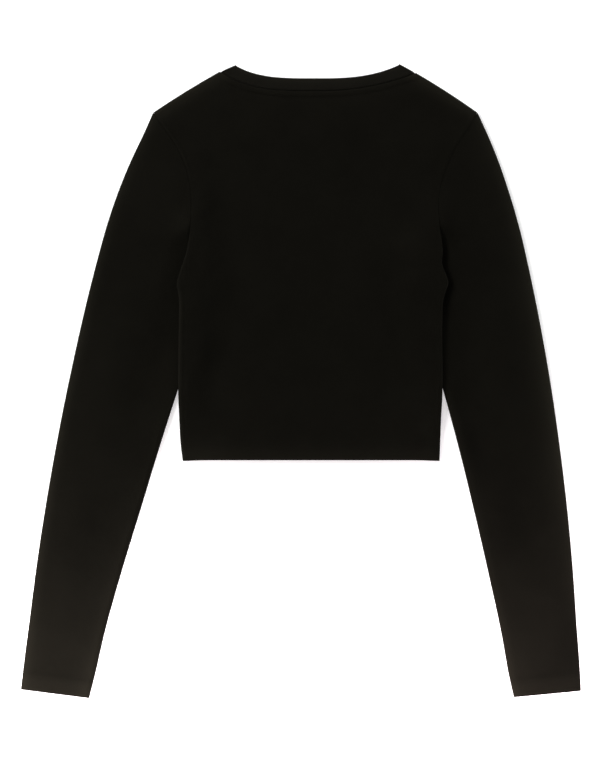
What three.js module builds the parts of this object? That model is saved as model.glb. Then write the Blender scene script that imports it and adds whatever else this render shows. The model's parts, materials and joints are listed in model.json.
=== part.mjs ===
// A long-sleeved crop top in jersey, laid flat with its back up.
// X runs to the right, Y from the hem to the neck, and Z up from the surface it lies on.
// Lengths are in millimetres. Front and back lie on each other, each sleeve is a flattened
// tube whose inner edge is tucked under the body, and the neckband is one loop of rib.

import * as THREE from 'three';

// Thicknesses
const CLOTH = 1.2;           // one layer of jersey
const HEM_CLOTH = 1.7;       // jersey turned up and stitched
const RIB_ON_TOP = 1.6;      // the neckband's rib, folded double, where it shows
const RIB_UNDER = 1.2;       // the same rib, pressed under the back
const HALF_GAP = 0.15;       // half of the air between two layers, and of a seam's gap
const SEAM_GAP = 2 * HALF_GAP;

// The sleeves' inner edges are tucked under the body, which rides over them
const SLEEVE_STACK = 2 * CLOTH + SEAM_GAP;
const RIDE = SLEEVE_STACK + SEAM_GAP;
const TUCK = { from: -12, to: 160, deep: 25 };
const RIDE_RISES = { from: -60, to: -16 };
const RIDE_FALLS = { from: 165, to: 205 };
const RIDE_MARGIN = 8;
const RIDE_SLOPE = 26;
const SIDE_ROLL_ENDS = { from: 160, to: 190 };

// The body's outline, one row for each section across it, from the hem up to the shoulder
const BODY_SECTIONS = [
  { place: 'hem', up: -81.3, left: -121.6, right: 142.6, wall: HEM_CLOTH },
  { place: 'hem', up: -65.3, left: -123.5, right: 143.3, wall: HEM_CLOTH },
  { place: 'side', up: -61.3, left: -124.0, right: 143.5, wall: CLOTH },
  { place: 'side', up: -38, left: -125.1, right: 144.2, wall: CLOTH },
  { place: 'side', up: -14, left: -126.0, right: 145.4, wall: CLOTH },
  { place: 'side', up: 10, left: -126.0, right: 145.4, wall: CLOTH },
  { place: 'side', up: 36, left: -125.7, right: 145.1, wall: CLOTH },
  { place: 'side', up: 62, left: -125.2, right: 145.2, wall: CLOTH },
  { place: 'side', up: 84, left: -125.2, right: 146.4, wall: CLOTH },
  { place: 'underarm', up: 101, left: -127.6, right: 151.6, wall: CLOTH },
  { place: 'armhole', up: 115, left: -123.3, right: 148.4, wall: CLOTH },
  { place: 'armhole', up: 131, left: -118.0, right: 146.2, wall: CLOTH },
  { place: 'armhole', up: 146, left: -115.0, right: 144.4, wall: CLOTH },
  { place: 'tuck ends', up: 160, left: -113.4, right: 142.3, wall: CLOTH },
  { place: 'armhole', up: 180, left: -112.6, right: 141.1, wall: CLOTH },
  { place: 'armhole', up: 200, left: -113.7, right: 143.2, wall: CLOTH },
  { place: 'armhole', up: 220, left: -118.7, right: 149.7, wall: CLOTH },
  { place: 'armhole', up: 240, left: -127.2, right: 159.2, wall: CLOTH },
  { place: 'armhole', up: 258.5, left: -139.6, right: 171.6, wall: CLOTH },
  { place: 'shoulder', up: 276.5, left: -151.9, right: 181.6, wall: CLOTH },
];
const TUCK_ROW = BODY_SECTIONS.findIndex((row) => row.place === 'tuck ends');
const SHOULDER_ROW = BODY_SECTIONS.length - 1;

// Columns of the panels: shares of the width from the side to the neck point, then across
const SHOULDER_SHARES = [0, 0.035, 0.07, 0.105, 0.145, 0.19];
const NECK_STEPS = 12;
const SHOULDER_BULGE = 0.9;

// The neck: the points where the band meets the shoulders, its peaks, and the curves' lowest
// points. A curve falls from its end to the middle as a power of the distance from the middle.
const NECK_MIDDLE = 17.5;
const NOTCH = { left: [-83.5, 318.7], right: [118.6, 317.2] };
const PEAK = { left: [-66.6, 325.5], right: [101.0, 326.5] };
const NECK_SEAMS = {
  back: { low: 298.7, leftPower: 3.45, rightPower: 2.15 },
  front: { low: 240, leftPower: 2.4, rightPower: 2.4 },
};
const BAND_TOP = { low: 311.7, leftPower: 3.6, rightPower: 2.8 };
const BAND_WIDTH = 13;
const BAND_FOLD_STEPS = 4;
const BAND_EDGE_ROUND = 0.5;
const BAND_START = 2.4;
const BAND_TURN_POWER = 10;

// The sleeves' outlines, one row for each section from the armhole to the cuff. The first
// section is the armhole itself, and bow is how much of the armhole's curve is left in it.
const LEFT_SLEEVE = [
  { outerX: -161.6, outerY: 255.0, innerX: -109.4, innerY: 147.0, bow: 0.8, wall: CLOTH },
  { outerX: -172.8, outerY: 231.6, innerX: -104.8, innerY: 131.3, bow: 0.6, wall: CLOTH },
  { outerX: -185.3, outerY: 202.1, innerX: -101.0, innerY: 111.8, bow: 0.4, wall: CLOTH },
  { outerX: -198.5, outerY: 164.4, innerX: -100.3, innerY: 86.9, bow: 0.2, wall: CLOTH },
  { outerX: -210.6, outerY: 121.0, innerX: -104.8, innerY: 59.3, bow: 0.1, wall: CLOTH },
  { outerX: -223.9, outerY: 67.7, innerX: -114.3, innerY: 26.4, bow: 0, wall: CLOTH },
  { outerX: -236.9, outerY: 9.1, innerX: -126.6, innerY: -9.1, bow: 0, wall: CLOTH },
  { outerX: -249.8, outerY: -54.6, innerX: -146.4, innerY: -70.9, bow: 0, wall: CLOTH },
  { outerX: -261.2, outerY: -118.6, innerX: -165.3, innerY: -133.1, bow: 0, wall: CLOTH },
  { outerX: -271.2, outerY: -182.8, innerX: -184.2, innerY: -195.3, bow: 0, wall: CLOTH },
  { outerX: -279.6, outerY: -247.3, innerX: -201.6, innerY: -257.7, bow: 0, wall: CLOTH },
  { outerX: -285.8, outerY: -295.2, innerX: -212.4, innerY: -304.8, bow: 0, wall: CLOTH },
  { outerX: -286.4, outerY: -299.1, innerX: -213.3, innerY: -308.8, bow: 0, wall: HEM_CLOTH },
  { outerX: -288.3, outerY: -317.0, innerX: -217.8, innerY: -326.0, bow: 0, wall: HEM_CLOTH },
];
const RIGHT_SLEEVE = [
  { outerX: 191.9, outerY: 254.6, innerX: 138.0, innerY: 147.0, bow: 0.8, wall: CLOTH },
  { outerX: 201.8, outerY: 230.6, innerX: 132.8, innerY: 131.5, bow: 0.6, wall: CLOTH },
  { outerX: 212.4, outerY: 200.4, innerX: 128.2, innerY: 114.0, bow: 0.4, wall: CLOTH },
  { outerX: 223.9, outerY: 162.1, innerX: 125.5, innerY: 89.3, bow: 0.2, wall: CLOTH },
  { outerX: 234.2, outerY: 118.3, innerX: 127.7, innerY: 61.5, bow: 0.1, wall: CLOTH },
  { outerX: 245.3, outerY: 64.4, innerX: 134.9, innerY: 28.0, bow: 0, wall: CLOTH },
  { outerX: 255.8, outerY: 5.4, innerX: 146.0, innerY: -8.0, bow: 0, wall: CLOTH },
  { outerX: 265.3, outerY: -58.9, innerX: 162.9, innerY: -70.5, bow: 0, wall: CLOTH },
  { outerX: 273.3, outerY: -123.4, innerX: 178.3, innerY: -133.7, bow: 0, wall: CLOTH },
  { outerX: 279.5, outerY: -188.1, innerX: 192.8, innerY: -197.0, bow: 0, wall: CLOTH },
  { outerX: 284.0, outerY: -253.0, innerX: 206.5, innerY: -260.6, bow: 0, wall: CLOTH },
  { outerX: 287.2, outerY: -296.5, innerX: 214.2, innerY: -303.6, bow: 0, wall: CLOTH },
  { outerX: 287.4, outerY: -300.5, innerX: 214.9, innerY: -307.5, bow: 0, wall: HEM_CLOTH },
  { outerX: 288.3, outerY: -318.4, innerX: 219.0, innerY: -325.0, bow: 0, wall: HEM_CLOTH },
];

// A rolled edge turns through these angles, from its outermost line inwards
const ROLL = [90, 60, 30, 0].map(THREE.MathUtils.degToRad);
const ROLL_STEPS = ROLL.length - 1;
const PANEL_INNER_STEP = 0.3;
const SLEEVE_INNER_STEP = 0.15;

const { lerp, smoothstep } = THREE.MathUtils;

// Point at share t of the way from a to b, in plan.
function between(a, b, t) {
  return [lerp(a[0], b[0], t), lerp(a[1], b[1], t)];
}

// Point at a distance from a on the way to b.
function towards(a, b, distance) {
  return between(a, b, distance / Math.hypot(b[0] - a[0], b[1] - a[1]));
}

// Unit direction at right angles to the way from a to b, to its left.
function leftOf(a, b) {
  const length = Math.hypot(b[0] - a[0], b[1] - a[1]);
  return [-(b[1] - a[1]) / length, (b[0] - a[0]) / length];
}

// A line of points moved to its left, mitred so that every stretch keeps the same distance.
function movedLeft(points, distance) {
  return points.map((point, k) => {
    const before = leftOf(points[Math.max(k - 1, 0)], points[Math.max(k, 1)]);
    const last = points.length - 1;
    const after = leftOf(points[Math.min(k, last - 1)], points[Math.min(k + 1, last)]);
    const mitre = [before[0] + after[0], before[1] + after[1]];
    const scale = (2 * distance) / (mitre[0] ** 2 + mitre[1] ** 2);
    return [point[0] + mitre[0] * scale, point[1] + mitre[1] * scale];
  });
}

// A closed mesh from points and the corners of its triangles, wound so that it faces out.
function closedGeometry(points, triangles) {
  const a = new THREE.Vector3();
  const b = new THREE.Vector3();
  const c = new THREE.Vector3();
  let volume = 0;
  for (const [i, j, k] of triangles) {
    volume += a.copy(points[i]).dot(b.copy(points[j]).cross(c.copy(points[k])));
  }
  const wound = volume > 0 ? triangles : triangles.map(([i, j, k]) => [i, k, j]);
  const geometry = new THREE.BufferGeometry().setFromPoints(points);
  geometry.setIndex(wound.flat());
  geometry.computeVertexNormals();
  return geometry;
}

// The two triangles of each cell of a grid of point numbers.
function gridTriangles(grid, turned) {
  const triangles = [];
  for (let r = 0; r + 1 < grid.length; r += 1) {
    for (let c = 0; c + 1 < grid[r].length; c += 1) {
      const corners = [grid[r][c], grid[r][c + 1], grid[r + 1][c + 1], grid[r + 1][c]];
      if (turned) corners.reverse();
      triangles.push([corners[0], corners[1], corners[2]], [corners[0], corners[2], corners[3]]);
    }
  }
  return triangles;
}

// Numbers a grid of points after those already listed, and lists them.
function numbered(grid, points) {
  return grid.map((row) => row.map((point) => points.push(point) - 1));
}

// Outline of a grid: along the first row, up the last column, back, and down the first.
function ringAround(grid) {
  const last = grid.length - 1;
  const wide = grid[0].length - 1;
  const up = grid.slice(1).map((row) => row[wide]);
  const back = grid[last].slice(0, wide).reverse();
  const down = grid.slice(1, last).map((row) => row[0]).reverse();
  return [...grid[0], ...up, ...back, ...down, grid[0][0]];
}

// A sheet of cloth: its two faces, and the wall that joins them all round.
function sheetGeometry(outer, inner) {
  const points = [];
  const outerGrid = numbered(outer, points);
  const innerGrid = numbered(inner, points);
  return closedGeometry(points, [
    ...gridTriangles(outerGrid, false),
    ...gridTriangles(innerGrid, true),
    ...gridTriangles([ringAround(outerGrid), ringAround(innerGrid)], true),
  ]);
}

// A tube of cloth: rings of points outside and inside, and a rim at each end.
function tubeGeometry(outer, inner) {
  const points = [];
  const close = (row) => [...row, row[0]];
  const outerGrid = numbered(outer, points).map(close);
  const innerGrid = numbered(inner, points).map(close);
  const last = outerGrid.length - 1;
  return closedGeometry(points, [
    ...gridTriangles(outerGrid, false),
    ...gridTriangles(innerGrid, true),
    ...gridTriangles([outerGrid[0], innerGrid[0]], true),
    ...gridTriangles([outerGrid[last], innerGrid[last]], false),
  ]);
}

// A loop: sections that follow each other all the way round.
function loopGeometry(sections) {
  const points = [];
  const grid = numbered(sections, points).map((row) => [...row, row[0]]);
  return closedGeometry(points, gridTriangles([...grid, grid[0]], false));
}

// Neck curve from the left end to the right one, at a place from -1 to 1 across it.
function neckPoint(ends, curve, place) {
  const end = place < 0 ? ends.left : ends.right;
  const power = place < 0 ? curve.leftPower : curve.rightPower;
  const share = Math.abs(place);
  return [lerp(NECK_MIDDLE, end[0], share), lerp(curve.low, end[1], share ** power)];
}

// All the neck curve's points, from left to right.
function neckLine(ends, curve) {
  return Array.from({ length: NECK_STEPS + 1 }, (_, k) => {
    return neckPoint(ends, curve, (2 * k) / NECK_STEPS - 1);
  });
}

// The shoulder seam's points from the sleeve to the neck, slightly rounded.
function shoulderLine(corner, notch, upward) {
  const across = leftOf(corner, notch);
  return SHOULDER_SHARES.map((width) => {
    const share = width / SHOULDER_SHARES.at(-1);
    const bulge = 4 * SHOULDER_BULGE * share * (1 - share) * upward;
    const straight = between(corner, notch, share);
    return [straight[0] + across[0] * bulge, straight[1] + across[1] * bulge];
  });
}

// Edge points of the body on one side, from the hem to the shoulder.
function sideLine(side) {
  return BODY_SECTIONS.map((row) => [row[side], row.up]);
}

// How far the body rides above the surface, at a distance in from its side edge.
function rideAt(up, inward) {
  const along = smoothstep(up, RIDE_RISES.from, RIDE_RISES.to)
    * (1 - smoothstep(up, RIDE_FALLS.from, RIDE_FALLS.to));
  const share = THREE.MathUtils.clamp((up - TUCK.from) / (TUCK.to - TUCK.from), 0, 1);
  const tucked = TUCK.deep * Math.sin(Math.PI * share) + RIDE_MARGIN;
  return RIDE * along * (1 - smoothstep(inward, tucked, tucked + RIDE_SLOPE));
}

// Points of one panel in plan, row by row, between its hem, its two sides and its top.
function panelPlan(neckSeam) {
  const left = sideLine('left');
  const right = sideLine('right');
  const leftShoulder = shoulderLine(left[SHOULDER_ROW], NOTCH.left, 1);
  const rightShoulder = shoulderLine(right[SHOULDER_ROW], NOTCH.right, -1).reverse();
  const neck = neckLine(NOTCH, neckSeam);
  const top = [...leftShoulder, ...neck.slice(1, -1), ...rightShoulder];
  const neckShare = 1 - 2 * SHOULDER_SHARES.at(-1);
  const shares = [
    ...SHOULDER_SHARES,
    ...neck.slice(1, -1).map((_, k) => SHOULDER_SHARES.at(-1) + ((k + 1) / NECK_STEPS) * neckShare),
    ...SHOULDER_SHARES.map((share) => 1 - share).reverse(),
  ];
  const height = BODY_SECTIONS[SHOULDER_ROW].up - BODY_SECTIONS[0].up;
  return BODY_SECTIONS.map((section, r) => {
    const v = (section.up - BODY_SECTIONS[0].up) / height;
    return shares.map((u, c) => {
      const hem = between(left[0], right[0], u);
      const sides = between(left[r], right[r], u);
      const corners = between(hem, between(left[SHOULDER_ROW], right[SHOULDER_ROW], u), v);
      const place = [0, 1].map((i) => lerp(hem[i], top[c][i], v) + sides[i] - corners[i]);
      const inward = Math.min(
        Math.hypot(place[0] - left[r][0], place[1] - left[r][1]),
        Math.hypot(place[0] - right[r][0], place[1] - right[r][1]),
      );
      return { place, wall: section.wall, ride: rideAt(section.up, inward), rise: 1 };
    });
  });
}

// Adds the points of an edge to a line of points that starts on it. A rolled edge turns
// down to the other layer, and a cut one ends upright; roll is 1 for the first, 0 for the other.
function withEdge(line, roll, face) {
  const [edge, next, ...rest] = line;
  const added = ROLL.map((angle, k) => {
    const cut = (edge.wall * k) / ROLL_STEPS;
    const rolled = edge.wall * (face === 'outer' ? 1 - Math.sin(angle) : 1 + PANEL_INNER_STEP * k);
    return {
      ...edge,
      place: towards(edge.place, next.place, lerp(cut, rolled, roll)),
      rise: edge.rise * lerp(1, Math.cos(angle), roll),
    };
  });
  return [...added, next, ...rest];
}

// One panel, the back on top (facing 1) or the front beneath it (facing -1).
function panelGeometry(neckSeam, facing) {
  const plan = panelPlan(neckSeam);
  const faces = ['outer', 'inner'].map((face) => {
    const rows = plan.map((row, r) => {
      const up = BODY_SECTIONS[r].up;
      const roll = 1 - smoothstep(up, SIDE_ROLL_ENDS.from, SIDE_ROLL_ENDS.to);
      const started = withEdge(row, roll, face);
      return withEdge(started.reverse(), roll, face).reverse();
    });
    const shoulderColumns = SHOULDER_SHARES.length + ROLL_STEPS;
    const wide = rows[0].length;
    const columns = rows[0].map((_, c) => {
      const roll = c < shoulderColumns || c >= wide - shoulderColumns ? 1 : 0;
      return withEdge(rows.map((row) => row[c]).reverse(), roll, face).reverse();
    });
    return columns[0].map((_, r) => columns.map((column) => {
      const point = column[r];
      const middle = point.ride + point.wall + HALF_GAP;
      const away = HALF_GAP + (face === 'outer' ? point.wall * point.rise : 0);
      return new THREE.Vector3(...point.place, middle + facing * away);
    }));
  });
  return sheetGeometry(...faces);
}

// One ring of a sleeve, around its upper and lower layers. The line runs across the sleeve
// from its outer fold to its inner one.
function sleeveRing(line, wall, face) {
  const radius = wall + HALF_GAP;
  const rolled = (points) => ROLL.slice(0, -1).map((angle, k) => {
    const outer = face === 'outer';
    const inset = outer ? 1 - Math.sin(angle) : 1 + SLEEVE_INNER_STEP * k;
    return {
      place: towards(points[0], points[1], radius * inset),
      away: outer ? radius * Math.cos(angle) : Math.min(k, 1) * HALF_GAP,
    };
  });
  const flat = face === 'outer' ? radius : HALF_GAP;
  const inset = face === 'outer' ? radius : radius * (1 + SLEEVE_INNER_STEP * ROLL_STEPS);
  const reversed = [...line].reverse();
  const starts = towards(line[0], line[1], inset);
  const ends = towards(reversed[0], reversed[1], inset);
  const half = [
    ...rolled(line),
    ...[starts, ...line.slice(1, -1), ends].map((place) => ({ place, away: flat })),
    ...rolled(reversed).reverse(),
  ];
  const under = half.slice(1, -1).reverse().map((point) => ({ ...point, away: -point.away }));
  return [...half, ...under].map(({ place, away }) => new THREE.Vector3(...place, radius + away));
}

// A sleeve: its first section follows the armhole, a seam's gap away from the panels.
function sleeveGeometry(side, sections) {
  const armhole = movedLeft(
    sideLine(side).slice(TUCK_ROW),
    side === 'left' ? SEAM_GAP : -SEAM_GAP,
  ).reverse();
  const length = armhole.length - 1;
  const lines = [{ line: armhole, wall: CLOTH }, ...sections.map((section) => {
    const outer = [section.outerX, section.outerY];
    const inner = [section.innerX, section.innerY];
    const line = armhole.map((point, k) => {
      const share = k / length;
      const chord = between(armhole[0], armhole[length], share);
      const straight = between(outer, inner, share);
      return [0, 1].map((i) => straight[i] + section.bow * (point[i] - chord[i]));
    });
    return { line, wall: section.wall };
  })];
  const faces = ['outer', 'inner'].map((face) => {
    return lines.map(({ line, wall }) => sleeveRing(line, wall, face));
  });
  return tubeGeometry(...faces);
}

// The points around the band's section: over its outer face, round its free edge, and back.
function bandSection(seam, free, normal, reach) {
  const width = Math.hypot(free[0] - seam[0], free[1] - seam[1]);
  const rounded = 1 - BAND_EDGE_ROUND / width;
  const path = [
    { share: 0, away: reach },
    { share: 0.5, away: reach },
    { share: rounded, away: reach },
    { share: 1, away: (reach + HALF_GAP) / 2 },
    { share: rounded, away: HALF_GAP },
    { share: 0.5, away: HALF_GAP },
    { share: 0, away: HALF_GAP },
  ];
  const middle = CLOTH + HALF_GAP;
  return path.map(({ share, away }) => {
    const [x, y] = between(seam, free, share);
    return new THREE.Vector3(x, y, middle).addScaledVector(normal, away);
  });
}

// The neckband: its back half on top, its front half beneath, folded at both shoulders.
function bandGeometry() {
  const topReach = RIB_ON_TOP + HALF_GAP;
  const underReach = RIB_UNDER + HALF_GAP;
  const foldReach = (topReach + underReach) / 2;
  const folds = { left: { turn: 1 }, right: { turn: -1 } };
  for (const side of ['left', 'right']) {
    const across = leftOf(NOTCH[side], PEAK[side]);
    folds[side].outward = [across[0] * folds[side].turn, across[1] * folds[side].turn];
    folds[side].free = [0, 1].map((i) => PEAK[side][i] - folds[side].outward[i] * foldReach);
  }
  const freeEnds = { left: folds.left.free, right: folds.right.free };
  const last = NECK_STEPS;
  const halves = {};
  for (const half of ['back', 'front']) {
    const line = neckLine(NOTCH, NECK_SEAMS[half]);
    const trimmed = [
      towards(line[0], line[1], BAND_START),
      ...line.slice(1, -1),
      towards(line[last], line[last - 1], BAND_START),
    ];
    const seam = movedLeft(trimmed, SEAM_GAP);
    const inside = movedLeft(trimmed, SEAM_GAP + BAND_WIDTH);
    const free = seam.map((_, k) => {
      const place = (2 * k) / NECK_STEPS - 1;
      if (half === 'back') return neckPoint(freeEnds, BAND_TOP, place);
      const folded = Math.abs(place) ** BAND_TURN_POWER;
      return between(inside[k], place < 0 ? freeEnds.left : freeEnds.right, folded);
    });
    halves[half] = { seam, free };
  }
  const flat = (half, reach, facing) => halves[half].seam.map((seam, k) => {
    return bandSection(seam, halves[half].free[k], new THREE.Vector3(0, 0, facing), reach);
  });
  const fold = (side) => {
    const end = side === 'left' ? 0 : last;
    return Array.from({ length: BAND_FOLD_STEPS - 1 }, (_, k) => {
      const share = (k + 1) / BAND_FOLD_STEPS;
      const angle = Math.PI * share;
      const [x, y] = folds[side].outward.map((value) => value * Math.sin(angle));
      const normal = new THREE.Vector3(x, y, Math.cos(angle));
      const seam = between(halves.back.seam[end], halves.front.seam[end], share);
      const free = between(halves.back.free[end], halves.front.free[end], share);
      return bandSection(seam, free, normal, lerp(topReach, underReach, share));
    });
  };
  return loopGeometry([
    ...flat('back', topReach, 1),
    ...fold('right'),
    ...flat('front', underReach, -1).reverse(),
    ...fold('left').reverse(),
  ]);
}

// Materials: near-black cotton jersey, and the rib of the neckband
const jersey = new THREE.MeshStandardMaterial({ color: 0x15130f, roughness: 0.9, metalness: 0 });
const rib = new THREE.MeshStandardMaterial({ color: 0x1b1814, roughness: 0.92, metalness: 0 });

const cropTop = new THREE.Group();
function addPiece(name, geometry, material) {
  const mesh = new THREE.Mesh(geometry, material);
  mesh.name = name;
  cropTop.add(mesh);
}

addPiece('front', panelGeometry(NECK_SEAMS.front, -1), jersey);
addPiece('back', panelGeometry(NECK_SEAMS.back, 1), jersey);
addPiece('sleeve_left', sleeveGeometry('left', LEFT_SLEEVE), jersey);
addPiece('sleeve_right', sleeveGeometry('right', RIGHT_SLEEVE), jersey);
addPiece('neckband', bandGeometry(), rib);

// The origin is on the surface, under the middle of the whole garment as it lies
const extent = new THREE.Box3().setFromObject(cropTop);
const middle = extent.getCenter(new THREE.Vector3());
for (const piece of cropTop.children) {
  piece.position.set(-middle.x, -middle.y, -extent.min.z);
}

export default cropTop;
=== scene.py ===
# %% [markdown]
# # A long-sleeved crop top, laid flat
#
# The garment is black cotton jersey with a little elastane. It lies on a white floor with its
# back up: two body panels on each other, two sleeves that are flattened tubes, and a narrow
# band of rib round the neck. The sleeves are drawn down beside the body, and their inner edges
# lie tucked under it.
#
# A laid garment could be simulated as cloth falling on the floor. Here its shape is known from
# the outline, and a hand smoothed it flat, so each piece is worked out as a surface instead:
# a flat plan, a height over the floor, and small relief for seams, hems and soft folds.

# %% Load the fixed frame
import json
import math

import bpy
import mathutils
import numpy as np
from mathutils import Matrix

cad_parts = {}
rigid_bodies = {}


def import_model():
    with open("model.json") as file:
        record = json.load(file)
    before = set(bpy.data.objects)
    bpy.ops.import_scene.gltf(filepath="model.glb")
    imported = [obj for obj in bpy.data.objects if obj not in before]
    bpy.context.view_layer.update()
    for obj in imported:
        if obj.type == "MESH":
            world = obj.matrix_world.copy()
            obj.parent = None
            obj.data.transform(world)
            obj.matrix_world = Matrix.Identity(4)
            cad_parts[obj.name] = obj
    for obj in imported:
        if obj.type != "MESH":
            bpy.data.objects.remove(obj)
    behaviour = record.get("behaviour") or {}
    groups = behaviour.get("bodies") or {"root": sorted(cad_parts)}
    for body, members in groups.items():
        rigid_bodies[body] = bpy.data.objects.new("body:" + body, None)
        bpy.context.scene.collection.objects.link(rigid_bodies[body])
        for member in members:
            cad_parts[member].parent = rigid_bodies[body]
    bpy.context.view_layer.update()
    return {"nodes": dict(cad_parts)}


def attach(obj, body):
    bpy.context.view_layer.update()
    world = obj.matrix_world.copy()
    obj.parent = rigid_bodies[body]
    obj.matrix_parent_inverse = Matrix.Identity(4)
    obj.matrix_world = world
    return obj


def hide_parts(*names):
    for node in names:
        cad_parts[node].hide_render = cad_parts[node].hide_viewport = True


for left_over in list(bpy.data.objects):
    bpy.data.objects.remove(left_over)
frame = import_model()
MM = 0.001
TABLE_SHIFT = np.array([0.0, -0.13, 0.0])
print("nodes in the frame:", ", ".join(sorted(frame["nodes"])))

# %% [markdown]
# ## The camera
#
# The garment is seen from straight above, with its neck at the top of the picture. A long lens
# stands far away, so the flat cloth keeps its proportions. The picture is 600 by 765, and its
# long side takes in 788 mm of the floor.

# %% Camera
PICTURE = (600, 765)
VIEW_MIDDLE = (-0.00093, -0.00142)
VIEW_LONG_SIDE = 0.788
LENS = 85.0
SENSOR = 36.0

camera_data = bpy.data.cameras.new("camera_above")
camera_data.lens = LENS
camera_data.sensor_fit = "AUTO"
camera_data.sensor_width = SENSOR
camera = bpy.data.objects.new("camera_above", camera_data)
bpy.context.scene.collection.objects.link(camera)
camera.location = (*VIEW_MIDDLE, LENS * VIEW_LONG_SIDE / SENSOR)
camera.rotation_euler = (0, 0, 0)
bpy.context.scene.camera = camera
print(f"camera {camera.location.z:.2f} m above a picture of {PICTURE[0]} by {PICTURE[1]}")

# %% [markdown]
# ## Working with curves
#
# A maker draws an outline through a few marks with a French curve. The helper below does the
# same with numbers: a cubic between each pair of marks, which leaves one mark in the direction
# in which the next begins. Distances to a seam are needed for everything that follows the seam,
# such as its ridge and its stitches.

# %% Curves
def curve_through(at, places, values):
    """Smooth curve through the values at the places: between two marks a cubic whose slope at
    each mark is the slope of a parabola through it and its neighbours."""
    places = np.asarray(places, float)
    values = np.asarray(values, float)
    slopes = np.gradient(values, places)
    k = np.clip(np.searchsorted(places, at) - 1, 0, len(places) - 2)
    step = places[k + 1] - places[k]
    t = (np.asarray(at, float) - places[k]) / step
    start = (1 + 2 * t) * (1 - t) ** 2 * values[k] + t * (1 - t) ** 2 * step * slopes[k]
    end = t * t * (3 - 2 * t) * values[k + 1] + t * t * (t - 1) * step * slopes[k + 1]
    return start + end


def ease(value, low, high):
    """0 below low, 1 above high, and 3t^2 - 2t^3 between."""
    t = np.clip((value - low) / (high - low), 0, 1)
    return t * t * (3 - 2 * t)


def mix(a, b, share):
    """The point or number at a share of the way from a to b."""
    return a + (b - a) * share


def distance_to(x, y, line):
    """Shortest distance from each point to a line of points: the smallest, over the line's
    stretches, of the length from the point to its foot on the stretch."""
    shape = np.shape(x)
    points = np.stack([np.ravel(x), np.ravel(y)], axis=1)
    start = line[:-1]
    way = line[1:] - start
    length2 = np.maximum((way**2).sum(1), 1e-9)
    best = np.full(len(points), np.inf)
    for k in range(len(way)):
        away = points - start[k]
        t = np.clip(away @ way[k] / length2[k], 0, 1)
        foot = away - t[:, None] * way[k]
        best = np.minimum(best, (foot**2).sum(1))
    return np.sqrt(best).reshape(shape)


def lengths_along(line):
    """Length along a line of points, from its first point to each of them."""
    return np.concatenate([[0], np.cumsum(np.linalg.norm(np.diff(line, axis=0), axis=1))])


def points_at(at, length, line):
    """Points on a line at distances along it, by straight steps between its points."""
    return np.stack([np.interp(at, length, values) for values in line.T], axis=1)


def left_of(line):
    """Unit vectors at right angles to a line of points, to its left."""
    way = np.gradient(line, axis=0)
    way /= np.linalg.norm(way, axis=1, keepdims=True)
    return np.stack([-way[:, 1], way[:, 0]], axis=1)


# %% [markdown]
# ## The outline of the body
#
# Front and back have the same sides and shoulders, and only the neck differs: the front is cut
# lower. Each row of marks is one line across the body, at a height `up` from the middle of the
# table, with its left and right edge in millimetres. The underarm is a corner, so the side seam
# and the armhole are two curves that meet there. The solid's wall is `CAD_CLOTH` thick and
# `HEM_CLOTH` where it is turned up, and the cloth drawn here is `CLOTH` thick. Sewn pieces end
# half a gap to each side of their seam. Above the right underarm the edge is hollowed a little.

# %% Outline of the body, in millimetres
SIDES = ("left", "right")
HEM_UP, UNDERARM_UP, TUCK_ENDS_UP, SHOULDER_UP = -81.3, 101.0, 160.0, 276.5
SIDE_UPS = [-81.3, -63.3, -38, -14, 10, 36, 62, 84, 101]
SIDE_EDGES = {
    "left": [-121.6, -123.8, -125.1, -126.0, -126.0, -125.7, -125.2, -125.2, -127.6],
    "right": [142.6, 143.4, 144.2, 145.4, 145.4, 145.1, 145.2, 146.4, 151.6],
}
ARM_UPS = [101, 115, 131, 146, 160, 180, 200, 220, 240, 258.5, 276.5]
ARM_EDGES = {
    "left": [-127.6, -123.3, -118.0, -115.0, -113.4, -112.6, -113.7, -118.7, -127.2, -139.6, -151.9],
    "right": [151.6, 148.4, 146.2, 144.4, 142.3, 141.1, 143.2, 149.7, 159.2, 171.6, 181.6],
}
CLOTH = 0.9
CAD_CLOTH = 1.2
HEM_CLOTH = 1.7
HALF_GAP = 0.15
HOLLOW = 2.6
NECK_SHARE = 0.19
NECK_MIDDLE = 17.5
NOTCH = {"left": np.array([-83.5, 318.7]), "right": np.array([118.6, 317.2])}
PEAK = {"left": np.array([-66.6, 325.5]), "right": np.array([101.0, 326.5])}
NECK_SEAMS = {"back": (298.7, 3.45, 2.15), "front": (240.0, 2.4, 2.4)}
SHOULDER_BULGE = 0.9


def bump(distance, middle, width):
    """A smooth ridge: e to the power of minus the square of the distance from its middle."""
    return np.exp(-(((distance - middle) / width) ** 2))


def body_edge(side, up):
    """The body's edge on one side at a height: the side seam's curve below the underarm, and
    the armhole's curve above it."""
    below = curve_through(np.minimum(up, UNDERARM_UP), SIDE_UPS, SIDE_EDGES[side])
    above = curve_through(np.maximum(up, UNDERARM_UP), ARM_UPS, ARM_EDGES[side])
    hollow = HOLLOW * bump(up, 121, 9) if side == "right" else 0
    return np.where(up < UNDERARM_UP, below, above) - hollow


def neck_curve(ends, curve, place):
    """Neck curve from the left end, at place -1, to the right one, at 1: its height rises from
    the lowest point as a power of the distance from the middle."""
    low, left_power, right_power = curve
    share = np.abs(place)
    left = np.asarray(place) < 0
    end_x = np.where(left, ends["left"][0], ends["right"][0])
    end_y = np.where(left, ends["left"][1], ends["right"][1])
    power = np.where(left, left_power, right_power)
    return mix(NECK_MIDDLE, end_x, share), mix(low, end_y, share**power)


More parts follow.
